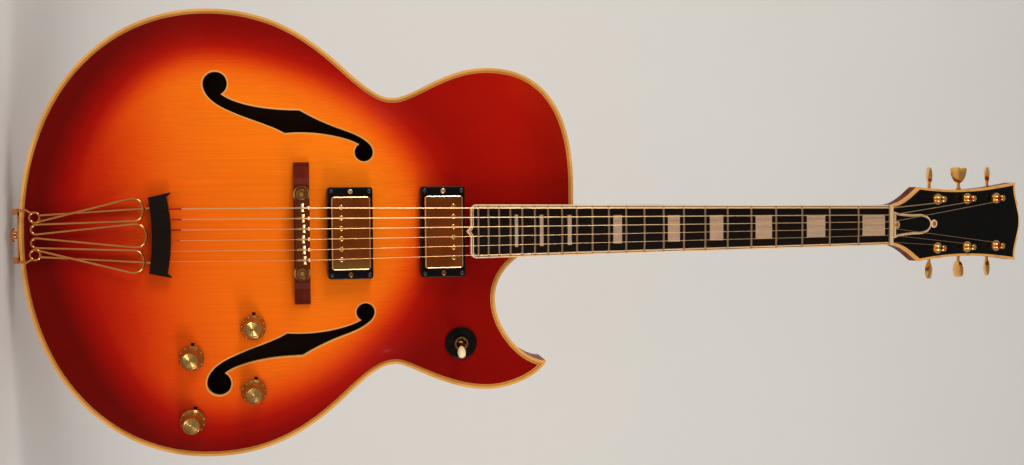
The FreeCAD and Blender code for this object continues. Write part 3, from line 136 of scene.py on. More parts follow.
def makeWoodGrain():
    inputs = [("Vector", vectorSocket, None), ("Across", floatSocket, 700.0), ("Along", floatSocket, 8.0)]
    outputs = [("Streak", floatSocket), ("Figure", floatSocket), ("Pores", floatSocket)]
    group, given, out = startGroup("woodGrain", inputs, outputs)
    stretch = addNode(group, "ShaderNodeCombineXYZ",
                      {"X": given["Across"], "Y": given["Across"], "Z": given["Along"]}).outputs[0]
    drawn = addNode(group, "ShaderNodeMapping", {"Vector": given["Vector"], "Scale": stretch}).outputs[0]
    fine = noiseField(group, drawn, *grainLook["fine"])
    feed(group, out["Streak"], noiseField(group, drawn, *grainLook["streak"]))
    feed(group, out["Figure"], noiseField(group, given["Vector"], *grainLook["figure"]))
    feed(group, out["Pores"], stepRange(group, fine, *grainLook["pores"]))
    return group


# handling marks on plate and plastic: cloudy smudges and fine short scratches
marksLook = {"detail": 5.0, "smudge": (0.3, 0.72), "turn": (0.5, 0.9, 0.4), "stretch": (900.0, 60.0, 900.0),
             "hair": (1.0, 2.0), "scratch": (0.56, 0.72)}


def makeHandling():
    inputs = [("Vector", vectorSocket, None), ("Scale", floatSocket, 60.0)]
    group, given, out = startGroup("handlingMarks", inputs, [("Smudge", floatSocket), ("Scratch", floatSocket)])
    cloud = noiseField(group, given["Vector"], given["Scale"], marksLook["detail"])
    turned = addNode(group, "ShaderNodeMapping", {"Vector": given["Vector"], "Rotation": marksLook["turn"],
                                                  "Scale": marksLook["stretch"]}).outputs[0]
    hair = noiseField(group, turned, *marksLook["hair"])
    feed(group, out["Smudge"], stepRange(group, cloud, *marksLook["smudge"]))
    feed(group, out["Scratch"], stepRange(group, hair, *marksLook["scratch"]))
    return group


# yellowing of old plastic and lacquer
ageLook = {"broad": (18.0, 4.0), "stain": (0.32, 0.68), "small": (420.0, 2.0), "speck": (0.55, 0.75)}


def makeAgeing():
    group, given, out = startGroup("oldFilm", [("Vector", vectorSocket, None)],
                                   [("Stain", floatSocket), ("Speck", floatSocket)])
    broad = noiseField(group, given["Vector"], *ageLook["broad"])
    small = noiseField(group, given["Vector"], *ageLook["small"])
    feed(group, out["Stain"], stepRange(group, broad, *ageLook["stain"]))
    feed(group, out["Speck"], stepRange(group, small, *ageLook["speck"]))
    return group


woodGrain, handlingMarks, oldFilm = makeWoodGrain(), makeHandling(), makeAgeing()


def startMaterial(name, **sockets):
    material = bpy.data.materials.new(name)
    material.use_nodes = True
    tree = material.node_tree
    shader = tree.nodes["Principled BSDF"]
    for label, value in sockets.items():
        shader.inputs[label.replace("_", " ")].default_value = value
    place = tree.nodes.new("ShaderNodeTexCoord").outputs["Object"]
    return material, tree, shader.inputs, place


def addBump(tree, sockets, height, strength, distance):
    bump = addNode(tree, "ShaderNodeBump", {"Strength": strength, "Distance": distance, "Height": height})
    tree.links.new(bump.outputs[0], sockets["Normal"])


# lacquered top: an amber field, lopsided toward the tail and the bass side, that fades through orange to cherry;
# the brighter bass side is partly painted light
sunburst = {
    "middle": (-0.018, 0.161), "reach": ((0.198, 0.279), (0.173, 0.28)), "power": 1.79, "field": 0.58,
    "glow": 0.87, "lean": (-0.7, 1.187), "leanFrom": (0, 0.25), "tail": (0.216, 0.62),
    "neckEnd": (0.46, 0.535, 1.0, 0.62), "cloud": (7.0, 3.0), "drift": (0.09, -0.045), "bump": (0.05, 0.0002),
    "front": 1.0, "inside": (0.2, 0.4), "bareInShade": (0.09, 0.04, 0.018, 1),
    "stops": [(0.0, (0.13, 0.0018, 0.0008)), (0.2, (0.24, 0.0025, 0.0008)), (0.36, (0.36, 0.005, 0.001)),
              (0.48, (0.52, 0.022, 0.0015)), (0.6, (0.70, 0.066, 0.002)), (0.74, (0.82, 0.13, 0.004)),
              (1.0, (0.90, 0.19, 0.005))],
}
# the back, which the photo doesn't show, has an even burst
backBurst = {**sunburst, "middle": (0.0, 0.19), "reach": ((0.21, 0.21), (0.19, 0.25)), "lean": (0.0, 0.3),
             "tail": (0.1, 0.9), "front": -1.0}


def burstLevel(tree, place, look):
    parts = splitVector(tree, place)
    total, leaning = 0.0, 0.0
    sides = zip("XZ", look["middle"], look["reach"], look["lean"], look["leanFrom"])
    for axis, middle, (below, above), lean, start in sides:
        offset = mathNode(tree, "SUBTRACT", parts[axis], middle)
        far = mathNode(tree, "MAXIMUM", mathNode(tree, "DIVIDE", offset, above),
                       mathNode(tree, "DIVIDE", offset, -below))
        total = mathNode(tree, "ADD", mathNode(tree, "POWER", far, look["power"]), total)
        # the lean is a straight slope of the level; across X it brightens the bass side, which is partly painted
        # light
        shifted = mathNode(tree, "SUBTRACT", parts[axis], start)
        leaning = mathNode(tree, "MULTIPLY_ADD", shifted, lean, leaning)
    reached = mathNode(tree, "POWER", total, 1 / look["power"])
    field = stepRange(tree, reached, look["field"], 1.0, look["glow"], 0.0)
    reach, dim = look["tail"]
    share = stepRange(tree, parts["Z"], 0.0, reach, dim, 1.0)
    return mathNode(tree, "MULTIPLY_ADD", field, share, leaning), parts


def makeSunburst(name, look, across, along, grainShare):
    material, tree, sockets, place = startMaterial(name, Roughness=0.4, Specular_IOR_Level=0.02,
                                                   Coat_Weight=0.07, Coat_Roughness=0.05)
    grain = useGroup(tree, woodGrain, {"Vector": place, "Across": across, "Along": along})
    level, parts = burstLevel(tree, place, look)
    drift = mathNode(tree, "MULTIPLY_ADD", noiseField(tree, place, *look["cloud"]), *look["drift"])
    colour = colourRamp(tree, mathNode(tree, "ADD", level, drift), look["stops"])
    neckEnd = stepRange(tree, parts["Z"], *look["neckEnd"])
    lines = mathNode(tree, "MULTIPLY_ADD", grain["Streak"], grainShare, 1.0 - grainShare * 0.5)
    shade = mathNode(tree, "MULTIPLY", neckEnd, lines)
    grey = addNode(tree, "ShaderNodeCombineColor", {"Red": shade, "Green": shade, "Blue": shade}).outputs[0]
    colour = blendColour(tree, 1.0, colour, grey, "MULTIPLY")
    # faces that look into the body take a dark brown: painted shade over the bare wood inside
    facing = mathNode(tree, "MULTIPLY", surfaceNormal(tree)["Y"], look["front"])
    inside = stepRange(tree, facing, *look["inside"])
    feed(tree, sockets["Base Color"], blendColour(tree, inside, colour, look["bareInShade"]))
    addBump(tree, sockets, grain["Streak"], *look["bump"])
    return material


# maple under red lacquer, with a curl across the grain
cherryLook = {"grain": {"Across": 260.0, "Along": 6.0}, "streak": 0.35, "bump": (0.04, 0.0002),
              "ripple": {"Distortion": 3.5, "Detail": 2.0, "Detail Scale": 1.4}}


def makeCherry(name, deep, bright, curl):
    material, tree, sockets, place = startMaterial(name, Roughness=0.45, Specular_IOR_Level=0.05,
                                                   Coat_Weight=0.1, Coat_Roughness=0.06)
    grain = useGroup(tree, woodGrain, {"Vector": place, **cherryLook["grain"]})
    ripple = addNode(tree, "ShaderNodeTexWave", {"Vector": place, "Scale": curl, **cherryLook["ripple"]},
                     bands_direction="Z")
    share = mathNode(tree, "MULTIPLY", ripple.outputs["Fac"], grain["Figure"])
    share = mathNode(tree, "MULTIPLY_ADD", grain["Streak"], cherryLook["streak"], share)
    feed(tree, sockets["Base Color"], blendColour(tree, share, (*deep, 1), (*bright, 1)))
    addBump(tree, sockets, grain["Streak"], *cherryLook["bump"])
    return material


# wood without lacquer, its pores open
woodLook = {"figure": 0.45, "streak": 0.6, "rubbedAndSheen": (0.2, 0.8), "spread": (-0.08, 0.1), "bump": (0.25, 0.0003)}


def makePlainWood(name, dark, pale, across, along, rough, turn=(0, 0, 0), coat=0.0):
    material, tree, sockets, place = startMaterial(name, Specular_IOR_Level=0.07, Coat_Weight=coat,
                                                   Coat_Roughness=0.15)
    laid = addNode(tree, "ShaderNodeMapping", {"Vector": place, "Rotation": turn}).outputs[0]
    grain = useGroup(tree, woodGrain, {"Vector": laid, "Across": across, "Along": along})
    streak = mathNode(tree, "MULTIPLY", grain["Streak"], woodLook["streak"])
    share = mathNode(tree, "MULTIPLY_ADD", grain["Figure"], woodLook["figure"], streak)
    feed(tree, sockets["Base Color"], blendColour(tree, share, (*dark, 1), (*pale, 1)))
    smooth, coarse = (rough + change for change in woodLook["spread"])
    feed(tree, sockets["Roughness"], stepRange(tree, grain["Streak"], *woodLook["rubbedAndSheen"], smooth, coarse))
    addBump(tree, sockets, grain["Pores"], *woodLook["bump"])
    return material


# plated metal: rubbed bright, smudged duller, with fine scratches
plateLook = {"scale": 70.0, "smudge": 0.4, "duller": 0.08, "scratch": 0.03, "bump": (0.02, 0.00003)}


def makePlate(name, bright, worn, rough):
    material, tree, sockets, place = startMaterial(name, Metallic=1.0)
    marks = useGroup(tree, handlingMarks, {"Vector": place, "Scale": plateLook["scale"]})
    share = mathNode(tree, "MULTIPLY", marks["Smudge"], plateLook["smudge"])
    feed(tree, sockets["Base Color"], blendColour(tree, share, (*bright, 1), (*worn, 1)))
    rough = stepRange(tree, marks["Smudge"], 0.0, 1.0, rough, rough + plateLook["duller"])
    rough = mathNode(tree, "MULTIPLY_ADD", marks["Scratch"], plateLook["scratch"], rough)
    feed(tree, sockets["Roughness"], rough)
    addBump(tree, sockets, marks["Scratch"], *plateLook["bump"])
    return material


# plastic, paint and lacquer that have aged in patches
plasticLook = {"scale": 90.0, "speck": 0.25, "stain": 0.7, "duller": 0.16, "bump": (0.06, 0.00005)}


def makePlastic(name, fresh, aged, rough, coat=0.1, gloss=0.15):
    material, tree, sockets, place = startMaterial(name, Specular_IOR_Level=gloss, Coat_Weight=coat,
                                                   Coat_Roughness=0.08)
    age = useGroup(tree, oldFilm, {"Vector": place})
    marks = useGroup(tree, handlingMarks, {"Vector": place, "Scale": plasticLook["scale"]})
    stain = mathNode(tree, "MULTIPLY", age["Stain"], plasticLook["stain"])
    share = mathNode(tree, "MULTIPLY_ADD", age["Speck"], plasticLook["speck"], stain)
    feed(tree, sockets["Base Color"], blendColour(tree, share, (*fresh, 1), (*aged, 1)))
    dullest = rough + plasticLook["duller"]
    feed(tree, sockets["Roughness"], stepRange(tree, marks["Smudge"], 0.0, 1.0, rough, dullest))
    addBump(tree, sockets, marks["Scratch"], *plasticLook["bump"])
    return material


# pickup covers: dull in front, with a painted highlight of the lamps round the edges, worn at the treble end of
# the bridge one
coverLook = {"scale": 45.0, "edge": (-0.985, -0.88), "dull": (0.54, 0.125, 0.024, 1),
             "duller": (0.38, 0.08, 0.014, 1), "bright": (0.95, 0.64, 0.34, 1), "rough": (0.16, 0.24),
             "wornFrom": (0.021, 0.034), "wornBelow": (0.36, 0.35), "wornShare": 0.75,
             "worn": (0.50, 0.30, 0.075, 1)}


def makeCover():
    material, tree, sockets, place = startMaterial("coverGold", Metallic=1.0)
    marks = useGroup(tree, handlingMarks, {"Vector": place, "Scale": coverLook["scale"]})
    colour = blendColour(tree, marks["Smudge"], coverLook["dull"], coverLook["duller"])
    parts = splitVector(tree, place)
    worn = mathNode(tree, "MULTIPLY", stepRange(tree, parts["X"], *coverLook["wornFrom"]),
                    stepRange(tree, parts["Z"], *coverLook["wornBelow"]))
    worn = mathNode(tree, "MULTIPLY", worn, coverLook["wornShare"])
    colour = blendColour(tree, worn, colour, coverLook["worn"])
    # faces turned away from the front take the bright gold: a painted highlight, the lamps' reflection along the
    # edges
    rubbedAndSheen = stepRange(tree, surfaceNormal(tree)["Y"], *coverLook["edge"])
    feed(tree, sockets["Base Color"], blendColour(tree, rubbedAndSheen, colour, coverLook["bright"]))
    feed(tree, sockets["Roughness"], stepRange(tree, marks["Smudge"], 0.0, 1.0, *coverLook["rough"]))
    return material


# edging of the neck: cream along the board and the cover, amber round the head
neckEdge = {"cream": (0.84, 0.57, 0.33, 1), "amber": (0.72, 0.33, 0.06, 1), "aged": (0.58, 0.30, 0.11, 1),
            "head": (0.8655, 0.868), "beside": (0.0165, 0.0185), "stain": 0.4, "rough": (0.24, 0.4)}


def makeNeckEdging():
    material, tree, sockets, place = startMaterial("neckEdging", Specular_IOR_Level=0.1, Coat_Weight=0.06,
                                                   Coat_Roughness=0.08)
    parts = splitVector(tree, place)
    beside = stepRange(tree, mathNode(tree, "ABSOLUTE", parts["X"]), *neckEdge["beside"])
    head = mathNode(tree, "MULTIPLY", stepRange(tree, parts["Z"], *neckEdge["head"]), beside)
    tone = blendColour(tree, head, neckEdge["cream"], neckEdge["amber"])
    age = useGroup(tree, oldFilm, {"Vector": place})
    stain = mathNode(tree, "MULTIPLY", age["Stain"], neckEdge["stain"])
    feed(tree, sockets["Base Color"], blendColour(tree, stain, tone, neckEdge["aged"]))
    marks = useGroup(tree, handlingMarks, {"Vector": place, "Scale": plasticLook["scale"]})
    feed(tree, sockets["Roughness"], stepRange(tree, marks["Smudge"], 0.0, 1.0, *neckEdge["rough"]))
    addBump(tree, sockets, marks["Scratch"], *plasticLook["bump"])
    return material


# amber plastic over gold paint
amberLook = {"fresh": (0.37, 0.155, 0.022, 1), "aged": (0.25, 0.09, 0.011, 1)}


def makeAmber():
    material, tree, sockets, place = startMaterial("amberGold", Metallic=0.7, Roughness=0.24, Coat_Weight=0.4,
                                                   Coat_Roughness=0.06)
    age = useGroup(tree, oldFilm, {"Vector": place})
    feed(tree, sockets["Base Color"], blendColour(tree, age["Stain"], amberLook["fresh"], amberLook["aged"]))
    return material


# mother of pearl: soft plates of grey, cream and faint pink
pearlLook = {"sway": {"Scale": 45.0, "Detail": 3.0, "Distortion": 1.6}, "plates": 7.0, "bump": (0.04, 0.0001),
             "stops": [(0.0, (0.54, 0.35, 0.21)), (0.3, (0.38, 0.24, 0.14)), (0.55, (0.48, 0.29, 0.19)),
                       (0.8, (0.37, 0.27, 0.17))]}


def makePearl():
    material, tree, sockets, place = startMaterial("pearlBlock", Roughness=0.25, Specular_IOR_Level=0.4)
    sway = addNode(tree, "ShaderNodeTexNoise", {"Vector": place, **pearlLook["sway"]})
    plates = addNode(tree, "ShaderNodeTexVoronoi",
                     {"Vector": sway.outputs["Color"], "Scale": pearlLook["plates"]}).outputs["Distance"]
    feed(tree, sockets["Base Color"], colourRamp(tree, plates, pearlLook["stops"]))
    addBump(tree, sockets, plates, *pearlLook["bump"])
    return material


finishes = {
    "burst": makeSunburst("sunburstTop", sunburst, 900.0, 7.0, 0.34),
    "burstBack": makeSunburst("sunburstBack", backBurst, 300.0, 5.0, 0.3),
    "cherry": makeCherry("cherrySides", (0.14, 0.006, 0.003), (0.31, 0.016, 0.0055), 34.0),
    # the neck's cherry is darker than the sides': painted shade
    "shadedCherryNeck": makeCherry("shadedCherryNeck", (0.06, 0.003, 0.0015), (0.19, 0.014, 0.005), 30.0),
    "bareWood": makePlainWood("bareSpruce", (0.42, 0.24, 0.11), (0.66, 0.45, 0.24), 500.0, 8.0, 0.65),
    "ebony": makePlainWood("ebonyBoard", (0.003, 0.002, 0.0015), (0.012, 0.006, 0.0035), 800.0, 12.0, 0.42),
    "rosewood": makePlainWood("rosewoodBase", (0.035, 0.002, 0.0008), (0.19, 0.018, 0.004), 520.0, 14.0, 0.34,
                              turn=(0, math.pi / 2, 0), coat=0.15),
    "binding": makePlastic("agedBinding", (0.76, 0.37, 0.09), (0.58, 0.24, 0.045), 0.26,
                           coat=0.06, gloss=0.1),
    # black used only on the floor of the pole screws' slots: painted shade
    "paintedSlotShade": makePlastic("paintedSlotShade", (0.012, 0.010, 0.009), (0.03, 0.022, 0.018), 0.3),
    "brownLine": makePlastic("brownLine", (0.25, 0.08, 0.005), (0.17, 0.05, 0.003), 0.4, coat=0.0, gloss=0.03),
    "blackGloss": makePlastic("blackLacquer", (0.002, 0.0018, 0.0016), (0.004, 0.003, 0.0025), 0.2,
                              coat=0.08, gloss=0.08),
    "blackRing": makePlastic("blackPlastic", (0.002, 0.0018, 0.0016), (0.005, 0.004, 0.0035), 0.22,
                             coat=0.08, gloss=0.1),
    "cream": makePlastic("creamPlastic", (0.94, 0.76, 0.46), (0.88, 0.66, 0.34), 0.2),
    "bone": makePlastic("bone", (0.62, 0.46, 0.28), (0.52, 0.35, 0.18), 0.35, coat=0.05),
    "gold": makePlate("goldPlate", (0.92, 0.50, 0.14), (0.70, 0.33, 0.08), 0.2),
    "coverGold": makeCover(),
    "neckEdging": makeNeckEdging(),
    "fretWire": makePlate("fretWire", (0.60, 0.37, 0.21), (0.45, 0.26, 0.14), 0.3),
    "steel": makePlate("plainSteel", (0.56, 0.55, 0.53), (0.36, 0.34, 0.32), 0.3),
    "stringWire": makePlate("stringWire", (0.72, 0.50, 0.27), (0.54, 0.35, 0.17), 0.32),
    "darkPlate": makePlate("darkPlate", (0.10, 0.09, 0.085), (0.05, 0.04, 0.04), 0.35),
    "pearl": makePearl(),
    "amberGold": makeAmber(),
    "capMetal": makePlate("capMetal", (0.54, 0.31, 0.10), (0.38, 0.20, 0.055), 0.22),
    "figurePaint": makePlastic("figurePaint", (0.80, 0.62, 0.30), (0.70, 0.50, 0.22), 0.35),
    "barBrass": makePlate("barBrass", (0.34, 0.085, 0.025), (0.22, 0.05, 0.012), 0.2),
    "saddleGold": makePlate("saddleGold", (0.90, 0.60, 0.30), (0.74, 0.44, 0.18), 0.3),
    "rodGold": makePlate("rodGold", (0.65, 0.27, 0.085), (0.42, 0.15, 0.038), 0.12),
    "bushingGold": makePlate("bushingGold", (0.95, 0.60, 0.25), (0.80, 0.45, 0.16), 0.36),
    "agedBrass": makePlate("agedBrass", (0.34, 0.15, 0.05), (0.22, 0.09, 0.03), 0.26),
    "silkRed": makePlastic("silkRed", (0.42, 0.012, 0.008), (0.28, 0.006, 0.005), 0.55, coat=0.0),
    "silkDark": makePlastic("silkDark", (0.20, 0.006, 0.006), (0.12, 0.004, 0.004), 0.55, coat=0.0),
    "silkOrange": makePlastic("silkOrange", (0.52, 0.05, 0.01), (0.40, 0.03, 0.008), 0.55, coat=0.0),
}
print("finishes made:", len(finishes))

nodeFinish = {
    "top_plate": "burst", "back_plate": "burstBack", "rim": "cherry", "neck": "shadedCherryNeck",
    "end_blocks": "bareWood", "linings": "bareWood", "tone_bars": "bareWood",
    "top_binding": "binding", "back_binding": "binding", "neck_binding": "neckEdging",
    "purfling": "brownLine",
    "fingerboard": "ebony", "tailpiece_block": "ebony", "bridge_base": "rosewood", "frets": "fretWire",
    "fret_inlays": "pearl", "headstock_veneer": "blackGloss", "truss_rod_cover": "blackGloss",
    "pickup_rings": "blackRing", "truss_rod": "steel", "strings": "stringWire", "nut": "bone",
    "control_pots": "blackRing", "bridge_bar": "barBrass",
    "tailpiece_wires": "rodGold", "tailpiece_bracket": "rodGold", "end_pin": "rodGold",
    "tuner_housings": "bushingGold", "switch_housing": "blackRing", "switch_tip": "cream",
    "pickup_bridge": "coverGold", "pickup_neck": "coverGold",
}
for name, node in nodes.items():
    node.data.materials.clear()
    node.data.materials.append(finishes[nodeFinish.get(name, "gold")])
print("nodes dressed")


# modelling helpers: sizes below are in millimetres; a piece is shaped about its own axis, then put in place
mm = 0.001


def selectWhere(piece, test):
    bpy.ops.mesh.select_all(action="DESELECT")
    shape = bmesh.from_edit_mesh(piece.data)
    for vertex in shape.verts:
        vertex.select_set(test(vertex.co / mm))
    shape.select_flush(True)
    bmesh.update_edit_mesh(piece.data)


def turnedPiece(name, rings, segments, hollow=False):
    bpy.ops.object.select_all(action="DESELECT")
    radius, height = rings[0]
    bpy.ops.mesh.primitive_circle_add(vertices=segments, radius=radius * mm,
                                      fill_type="NOTHING" if hollow else "NGON")
    piece = bpy.context.object
    piece.name = name
    bpy.ops.object.mode_set(mode="EDIT")
    bpy.ops.mesh.select_all(action="SELECT")
    bpy.ops.transform.translate(value=(0, 0, height * mm))
    for nextRadius, nextHeight in rings[1:]:
        bpy.ops.mesh.extrude_region_move(TRANSFORM_OT_translate={"value": (0, 0, (nextHeight - height) * mm)})
        bpy.ops.transform.resize(value=(nextRadius / radius, nextRadius / radius, 1))
        radius, height = nextRadius, nextHeight
    closePiece(piece)
    return piece


def closePiece(piece):
    bpy.ops.mesh.select_all(action="SELECT")
    bpy.ops.mesh.remove_doubles(threshold=1e-6)
    bpy.ops.mesh.normals_make_consistent(inside=False)
    bpy.ops.object.mode_set(mode="OBJECT")
    bpy.ops.object.shade_smooth_by_angle(angle=math.radians(30))


def ribPiece(piece, segments, low, high, outside, share):
    step = 2 * math.pi / segments

    def between(place):
        if not (low <= place.z <= high and math.hypot(place.x, place.y) >= outside):
            return False
        return round(math.atan2(place.y, place.x) / step) % 2 == 0

    bpy.ops.object.mode_set(mode="EDIT")
    selectWhere(piece, between)
    bpy.ops.transform.resize(value=(share, share, 1), center_override=(0, 0, 0))
    bpy.ops.object.mode_set(mode="OBJECT")


def cutAway(piece, size, place):
    bpy.ops.object.select_all(action="DESELECT")
    bpy.ops.mesh.primitive_cube_add(size=mm, location=[axis * mm for axis in place])
    cutter = bpy.context.object
    cutter.scale = size
    slot = piece.modifiers.new("slot", "BOOLEAN")
    slot.object, slot.operation, slot.solver = cutter, "DIFFERENCE", "EXACT"
    bpy.context.view_layer.objects.active = piece
    bpy.ops.object.modifier_apply(modifier="slot")
    bpy.data.objects.remove(cutter)


def copyPiece(piece, name):
    twin = piece.copy()
    twin.data = piece.data.copy()
    twin.name = name
    bpy.context.scene.collection.objects.link(twin)
    return twin


def standing(place, axis, size=1.0, turn=0.0):
    aim = Vector(axis).to_track_quat("Z", "Y").to_matrix().to_4x4()
    return (Matrix.Translation([value * mm for value in place]) @ aim @ Matrix.Rotation(turn, 4, "Z")
            @ Matrix.Scale(size, 4))


def settle(piece, matrix):
    bpy.ops.object.select_all(action="DESELECT")
    piece.select_set(True)
    bpy.context.view_layer.objects.active = piece
    piece.matrix_world = matrix
    bpy.ops.object.transform_apply(location=True, rotation=True, scale=True)


def dress(piece, *looks):
    piece.data.materials.clear()
    for look in looks:
        piece.data.materials.append(finishes[look])


def joinPieces(name, pieces):
    bpy.ops.object.select_all(action="DESELECT")
    for piece in pieces:
        piece.select_set(True)
    bpy.context.view_layer.objects.active = pieces[0]
    bpy.ops.object.join()
    pieces[0].name = name
    return pieces[0]


def dropPiece(piece):
    bpy.data.objects.remove(piece)


# control knobs: skirt with figures, ribbed body and a set-in metal cap
knobLook = {
    "rings": [(11.4, 0.0), (12.2, 0.5), (12.2, 1.3), (11.9, 1.7), (10.7, 3.1), (9.9, 4.4), (9.5, 5.3),
              (9.4, 5.6), (8.75, 12.6), (8.5, 13.5), (8.15, 14.0), (7.7, 14.2), (7.3, 14.15), (7.1, 13.75)]
    + [(6.75 - 0.35 * step, 13.6 + 0.18 * (step % 2)) for step in range(17)] + [(0.9, 13.6), (0.2, 13.55)],
    "segments": 72, "ribbed": (5.5, 12.7, 8.6), "ribDepth": 0.965, "cap": (13.5, 7.15),
    "places": {"knob_1": ((89.32, -49.81, 218.22), (0.0511, -0.9987, 0.0086)),
               "knob_2": ((117.63, -47.37, 159.72), (0.0951, -0.9950, -0.0315)),
               "knob_3": ((151.82, -42.84, 217.70), (0.1746, -0.9838, 0.0407)),
               "knob_4": ((179.68, -37.79, 159.32), (0.2014, -0.9790, -0.0320))},
    "turns": (0.4, 2.1, 1.2, 2.9),
}
figureLook = {"tall": 2.0, "relief": 0.05, "radius": 11.05, "height": 2.7, "lean": 40.0, "count": 11,
              "apart": 30.0, "resolution": 3}


def makeFigures():
    figures = []
    lean = math.radians(figureLook["lean"])
    laid = Matrix(((0, -math.sin(lean), math.cos(lean), figureLook["radius"] * mm), (1, 0, 0, 0),
                   (0, math.cos(lean), math.sin(lean), figureLook["height"] * mm), (0, 0, 0, 1)))
    for step in range(figureLook["count"]):
        bpy.ops.object.select_all(action="DESELECT")
        bpy.ops.object.text_add()
        figure = bpy.context.object
        figure.data.body = str(step)
        figure.data.size, figure.data.extrude = figureLook["tall"] * mm, figureLook["relief"] * mm
        figure.data.align_x, figure.data.align_y = "CENTER", "CENTER"
        figure.data.resolution_u = figureLook["resolution"]
        bpy.ops.object.convert(target="MESH")
        settle(figure, Matrix.Rotation(math.radians(figureLook["apart"] * step), 4, "Z") @ laid)
        figures.append(figure)
    return joinPieces("dialFigures", figures)


def makeKnobs():
    knob = turnedPiece("knob", knobLook["rings"], knobLook["segments"])
    ribPiece(knob, knobLook["segments"], *knobLook["ribbed"], knobLook["ribDepth"])
    dress(knob, "amberGold", "capMetal")
    floor, edge = knobLook["cap"]
    for face in knob.data.polygons:
        place = face.center / mm
        face.material_index = int(place.z > floor and math.hypot(place.x, place.y) < edge)
    figures = makeFigures()
    dress(figures, "figurePaint")
    rows = zip(knobLook["places"].items(), knobLook["turns"], range(1, 5))
    for (name, (place, axis)), turn, number in rows:
        seat = standing(place, axis, turn=turn)
        for master, label in ((knob, "turnedKnob"), (figures, "knobFigures")):
            piece = copyPiece(master, f"{label}{number}")
            settle(piece, seat)
            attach(piece, f"control_{number}")
            if master is knob:
                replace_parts(piece, name)
    dropPiece(knob)
    dropPiece(figures)


makeKnobs()
print("knobs made")

# height wheels of the bridge, with a milled edge
wheelLook = {"rings": [(2.15, 0.0), (7.1, 0.0), (7.8, 0.45), (7.8, 1.5), (7.8, 2.55), (7.1, 3.0), (4.2, 3.0),
                       (3.9, 2.8), (2.15, 2.8), (2.15, 0.0)],
             "segments": 96, "ribbed": (0.2, 2.8, 7.5), "ribDepth": 0.955, "level": (-59.3, 265.5),
             "places": {"thumbwheel_bass": (-37.5, "thumb_bass"), "thumbwheel_treble": (37.5, "thumb_treble")}}


def makeWheels():
    wheel = turnedPiece("wheel", wheelLook["rings"], wheelLook["segments"], hollow=True)
    ribPiece(wheel, wheelLook["segments"], *wheelLook["ribbed"], wheelLook["ribDepth"])
    dress(wheel, "gold")
    for name, (x, body) in wheelLook["places"].items():
        piece = copyPiece(wheel, "milled" + ("Bass" if x < 0 else "Treble"))
        settle(piece, standing((x, *wheelLook["level"]), (0, -1, 0)))
        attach(piece, body)
        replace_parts(piece, name)
    dropPiece(wheel)


makeWheels()

# turned collars where the posts come through the bar's ends
collarLook = {"rings": [(2.25, 0.0), (4.9, 0.0), (4.9, 0.25), (4.6, 0.4), (3.3, 0.4), (3.0, 0.15), (2.25, 0.15),
                        (2.25, 0.0)],
              "segments": 48, "level": (-69.15, 265.5), "columns": {"Bass": -37.5, "Treble": 37.5}}


def makeCollars():
    collar = turnedPiece("collar", collarLook["rings"], collarLook["segments"], hollow=True)
    dress(collar, "agedBrass")
    for side, x in collarLook["columns"].items():
        piece = copyPiece(collar, "postCollar" + side)
        settle(piece, standing((x, *collarLook["level"]), (0, -1, 0)))
        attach(piece, "bridge")
    dropPiece(collar)


makeCollars()

# saddles with a roof-shaped top and a notch for the string
saddleLook = {"roof": 0.27, "ridge": (0.3, 1, 0.5), "bevel": 0.02, "notch": (0.14, 0.2, 2.0),
              "notchPlace": (0, -0.5, 0)}


def makeSaddles():
    bpy.ops.object.select_all(action="DESELECT")
    bpy.ops.mesh.primitive_cube_add(size=mm)
    master = bpy.context.object
    bpy.ops.object.mode_set(mode="EDIT")
    selectWhere(master, lambda place: place.y < 0)
    bpy.ops.transform.translate(value=(0, saddleLook["roof"] * mm, 0))
    bpy.ops.mesh.extrude_region_move(TRANSFORM_OT_translate={"value": (0, -saddleLook["roof"] * mm, 0)})
    bpy.ops.transform.resize(value=saddleLook["ridge"])
    bpy.ops.mesh.select_all(action="SELECT")
    bpy.ops.mesh.bevel(offset=saddleLook["bevel"] * mm, segments=2)
    closePiece(master)
    cutAway(master, saddleLook["notch"], saddleLook["notchPlace"])
    dress(master, "saddleGold")
    for number in range(1, 7):
        low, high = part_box(f"saddle_{number}")
        saddle = copyPiece(master, f"roofSaddle{number}")
        settle(saddle, Matrix.Translation((low + high) / 2) @ Matrix.Diagonal((*((high - low) / mm), 1)))
        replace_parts(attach(saddle, f"saddle_{number}"), f"saddle_{number}")
    dropPiece(master)


makeSaddles()

# threaded screws through the slot of the bar, one per saddle, with their heads on the neck side
saddleScrew = {"behind": 2.5, "segments": 24, "slot": (4.4, 0.5, 1.2), "slotPlace": (0, 0, 14.05), "twist": 0.7,
               "rings": [(1.22 + 0.14 * (step % 2), 0.25 * step) for step in range(48)]
               + [(1.22, 12.0), (1.95, 12.0), (1.95, 13.5), (1.7, 13.85), (0.9, 14.0), (0.1, 14.02)]}


def makeSaddleScrews():
    master = turnedPiece("saddleScrew", saddleScrew["rings"], saddleScrew["segments"])
    cutAway(master, saddleScrew["slot"], saddleScrew["slotPlace"])
    dress(master, "saddleGold")
    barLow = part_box("bridge_bar")[0]
    screws = []
    for number in range(1, 7):
        low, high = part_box(f"saddle_{number}")
        screw = copyPiece(master, "saddleScrew")
        end = Vector(((low.x + high.x) / 2, barLow.y + saddleScrew["behind"] * mm, barLow.z))
        settle(screw, Matrix.Translation(end) @ Matrix.Rotation(saddleScrew["twist"] * number, 4, "Z"))
        screws.append(screw)
    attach(joinPieces("saddleScrews", screws), "bridge")
    dropPiece(master)


makeSaddleScrews()

